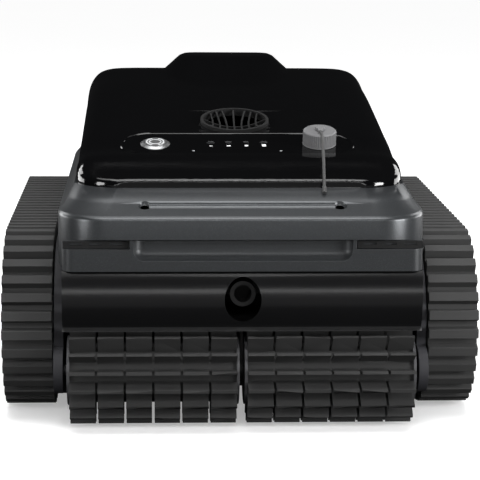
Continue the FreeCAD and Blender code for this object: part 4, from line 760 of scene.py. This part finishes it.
@dataclass
class ControlPanel:
    """Printed marks, button rings and the ribbed cap on the tilted panel."""

    middle: Point = (0.0, -0.109675, 0.2301)
    tilt: float = 14.3
    spread: float = 0.0735
    pitch: float = 0.0158
    row: float = 0.0037
    mark_lift: float = 0.00012
    sign_line: float = 0.00075
    dot_rings: tuple[float, float] = (0.0011, 0.0004)
    dot_spots: tuple[float, float] = (-0.0395, 0.038)
    dot_row: float = -0.0165
    button_top: float = 0.002
    outer_ring: tuple[float, float] = (0.0083, 0.0071)
    inner_ring: tuple[float, float] = (0.0056, 0.0046)
    ring_break: float = 0.0026
    cap_radius: float = 0.015
    cap_low: float = 0.0004
    cap_high: float = 0.0135
    cap_flare: float = 0.0014
    cap_facets: int = 96
    cap_room: float = 0.0088

    def spot(self, across: float) -> Point:
        """A point on the panel's middle line."""
        return (self.middle[0] + across, self.middle[1], self.middle[2])

    def outline(self, corners: Sequence[tuple[float, float]], width: float) -> Thing:
        """A thin raised outline through corners on the local plane."""
        BENCH.clear()
        bpy.ops.mesh.primitive_plane_add(size=0.001)
        sign = bpy.context.object
        bpy.ops.object.mode_set(mode="EDIT")
        mesh = bmesh.from_edit_mesh(sign.data)
        bmesh.ops.delete(mesh, geom=mesh.verts[:], context="VERTS")
        mesh.faces.new([mesh.verts.new((x, y, 0.0)) for x, y in corners])
        bmesh.update_edit_mesh(sign.data)
        bpy.ops.mesh.select_all(action="SELECT")
        bpy.ops.mesh.inset(thickness=width)
        bpy.ops.mesh.delete(type="FACE")
        bpy.ops.mesh.select_all(action="SELECT")
        BENCH.push(self.mark_lift)
        bpy.ops.mesh.select_all(action="SELECT")
        bpy.ops.mesh.normals_make_consistent(inside=False)
        bpy.ops.object.mode_set(mode="OBJECT")
        return sign

    def build_icons(self) -> None:
        """The four outlined mode signs over their level lights, and two small dots."""
        mm = 0.001
        signs = (
            ((-3.3, -1.9), (3.3, -1.9), (2.0, 1.9), (-2.0, 1.9)),
            ((-2.9, 1.9), (-2.6, -0.6), (-1.2, -1.9), (1.2, -1.9), (2.6, -0.6), (2.9, 1.9)),
            ((-2.3, 1.9), (-2.3, 0.4), (0.2, -0.2), (0.8, -1.9), (2.3, -1.9), (2.3, 1.9)),
            ((-3.4, 0.0), (-1.7, -2.0), (1.7, -2.0), (3.4, 0.0), (1.7, 2.0), (-1.7, 2.0)))
        things = []
        for column, corners in enumerate(signs):
            across = (column - 1.5) * self.pitch
            sign = self.outline([(x * mm, y * mm) for x, y in corners], self.sign_line)
            sign.location = (across, self.row, 0.0)
            things.append(sign)
        for across in self.dot_spots:
            dot = BENCH.band(*self.dot_rings, 0.0, self.mark_lift, 16)
            dot.location = (across, self.dot_row, 0.0)
            things.append(dot)
        for thing in things:
            BENCH.settle(thing, "sign")
        joined = BENCH.join(things, "mode_signs")
        BENCH.seat(joined, self.spot(0), self.tilt, "mode_signs")
        BENCH.hand_over(joined, Coat.OUTLINE, "root", "light_window")

    def build_button_rings(self) -> None:
        """Two printed rings on the button, the outer one broken at front and rear."""
        low, high = self.button_top, self.button_top + self.mark_lift
        outer = BENCH.band(*self.outer_ring, low, high, 72)
        BENCH.pick(outer, lambda spot, normal: abs(spot.x) < self.ring_break)
        bpy.ops.mesh.delete(type="FACE")
        bpy.ops.mesh.select_all(action="SELECT")
        bpy.ops.mesh.fill_holes(sides=4)
        bpy.ops.object.mode_set(mode="OBJECT")
        inner = BENCH.band(*self.inner_ring, low, high, 64)
        rings = BENCH.join([outer, inner], "button_rings")
        BENCH.seat(rings, self.spot(-self.spread), self.tilt, "button_rings")
        BENCH.hand_over(rings, Coat.MARK, "power_button", "silver")

    def is_rib(self, spot: Vector, normal: Vector) -> bool:
        """Whether a side facet of the drum is one that stands out as a rib."""
        turn = math.degrees(math.atan2(spot.y, spot.x)) * self.cap_facets / 360
        return abs(normal.z) < 0.5 and int(round(turn - 0.5)) % 2 == 0

    def pick_end(self, cap: Thing, toward: int) -> None:
        """Select the cap's middle face at its top (1) or its foot (-1)."""
        BENCH.pick(cap, lambda spot, normal: normal.z * toward > 0.9 and spot.xy.length < 0.002)

    def build_cap(self) -> None:
        """The ribbed screw cap with its flared foot and hollow inside."""
        crown_step = 0.001
        foot_step = 0.0001
        cap = BENCH.drum(self.cap_radius - 0.0005, self.cap_low + self.cap_flare,
                         self.cap_high - crown_step, self.cap_facets)
        BENCH.pick(cap, self.is_rib)
        bpy.ops.mesh.inset(thickness=0.00018, depth=0.00042, use_individual=True)
        self.pick_end(cap, 1)
        BENCH.push(0.0007)
        bpy.ops.transform.resize(value=(0.965, 0.965, 1))
        bpy.ops.mesh.inset(thickness=0.0009, depth=0.0003)
        self.pick_end(cap, -1)
        BENCH.push(-foot_step)
        bpy.ops.transform.resize(value=(1.035, 1.035, 1))
        BENCH.push(foot_step - self.cap_flare)
        bpy.ops.mesh.inset(thickness=0.0034)
        BENCH.push(self.cap_room)
        bpy.ops.object.mode_set(mode="OBJECT")
        BENCH.seat(cap, self.spot(self.spread), self.tilt, "ribbed_cap")
        BENCH.smooth(cap, 35)
        BENCH.hand_over(cap, Coat.CAP, "charge_cap", "cap_grey", "charge_cap")

    def build(self) -> None:
        """Make the panel's own details."""
        self.build_icons()
        self.build_button_rings()
        self.build_cap()


@dataclass
class Machine:
    """Every carried-over node and reshelled piece."""

    shells: tuple[tuple[str, Coat, float, float], ...] = (
        ("deck_cover", Coat.SHELL, 30, 0.0), ("filter_lid", Coat.SHELL, 30, 0.0),
        ("front_cover", Coat.NOSE, 30, 0.0004), ("bumper_frame", Coat.BAND, 30, 0.0005),
        # vent strips, grille and nozzle take the darker black that paints the shade of their recesses
        ("front_skirt", Coat.SKIRT, 30, 0.0004), ("vent_strips", Coat.SOOT, 30, 0.0),
        ("control_panel", Coat.PANEL, 30, 0.0003), ("outlet_grille", Coat.SOOT, 30, 0.0002),
        ("jet_nozzle", Coat.SOOT, 30, 0.0003),
        ("cap_swivel", Coat.CAP, 30, 0.0002), ("power_button", Coat.SILVER, 30, 0.0002),
        ("button_bezel", Coat.SILVER, 30, 0.0001))
    plain: dict[str, Coat] = field(default_factory=lambda: {
        "icon_windows": Coat.LIGHT, "charge_socket": Coat.BLACK, "charge_contacts": Coat.BRASS,
        "cap_seal": Coat.SEAL, "lid_seal": Coat.SEAL, "tether_anchor": Coat.TETHER,
        "base_tray": Coat.BLACK, "brush_hanger": Coat.BLACK, "outlet_duct": Coat.BLACK,
        "electronics_box": Coat.BLACK, "box_lid": Coat.BLACK, "battery_cells": Coat.CELLS,
        "control_board": Coat.BOARD, "pump_motor": Coat.ZINC, "impeller": Coat.BASKET,
        "filter_basket": Coat.BASKET, "filter_mesh": Coat.CLOTH, "tray_screws": Coat.STEEL,
        "hinge_pins": Coat.STEEL, "rear_axles": Coat.STEEL})
    pairs: dict[str, Coat] = field(default_factory=lambda: {
        "suction_flap": Coat.BLACK, "drive_motor": Coat.ZINC, "gear_cover": Coat.PLATE,
        "drive_gear": Coat.STEEL, "idler_gear": Coat.ACETAL, "brush_gear": Coat.ACETAL})
    paired_shells: tuple[tuple[str, Coat, float, float], ...] = (
        ("track_belt", Coat.TRACK, 28, 0.0006), ("front_wheel", Coat.WHEEL, 30, 0.0004),
        ("rear_wheel", Coat.WHEEL, 30, 0.0004), ("side_plate", Coat.PLATE, 30, 0.0004),
        ("track_guard", Coat.PLATE, 30, 0.0), ("brush_sleeve", Coat.BRUSH, 30, 0.0),
        ("brush_roller", Coat.ROLLER, 30, 0.0003))

    def build(self) -> None:
        """Dress the whole machine."""
        for node, coat, degrees, bevel in self.shells:
            BENCH.reshelled(node, coat, degrees, bevel)
        for side in ("left", "right"):
            for stem, coat, degrees, bevel in self.paired_shells:
                BENCH.reshelled(f"{stem}_{side}", coat, degrees, bevel)
            for stem, coat in self.pairs.items():
                BENCH.dress(f"{stem}_{side}", coat)
        for node, coat in self.plain.items():
            BENCH.dress(node, coat)


def main() -> None:
    """Build everything in order."""
    logging.basicConfig(level=logging.INFO, format="%(message)s")
    boxes: dict[str, Any] = {}
    write_box("cad", boxes)
    Studio().build()
    Tether().build()
    ControlPanel().build()
    Machine().build()
    write_box("visual", boxes)


if __name__ == "__main__":
    main()
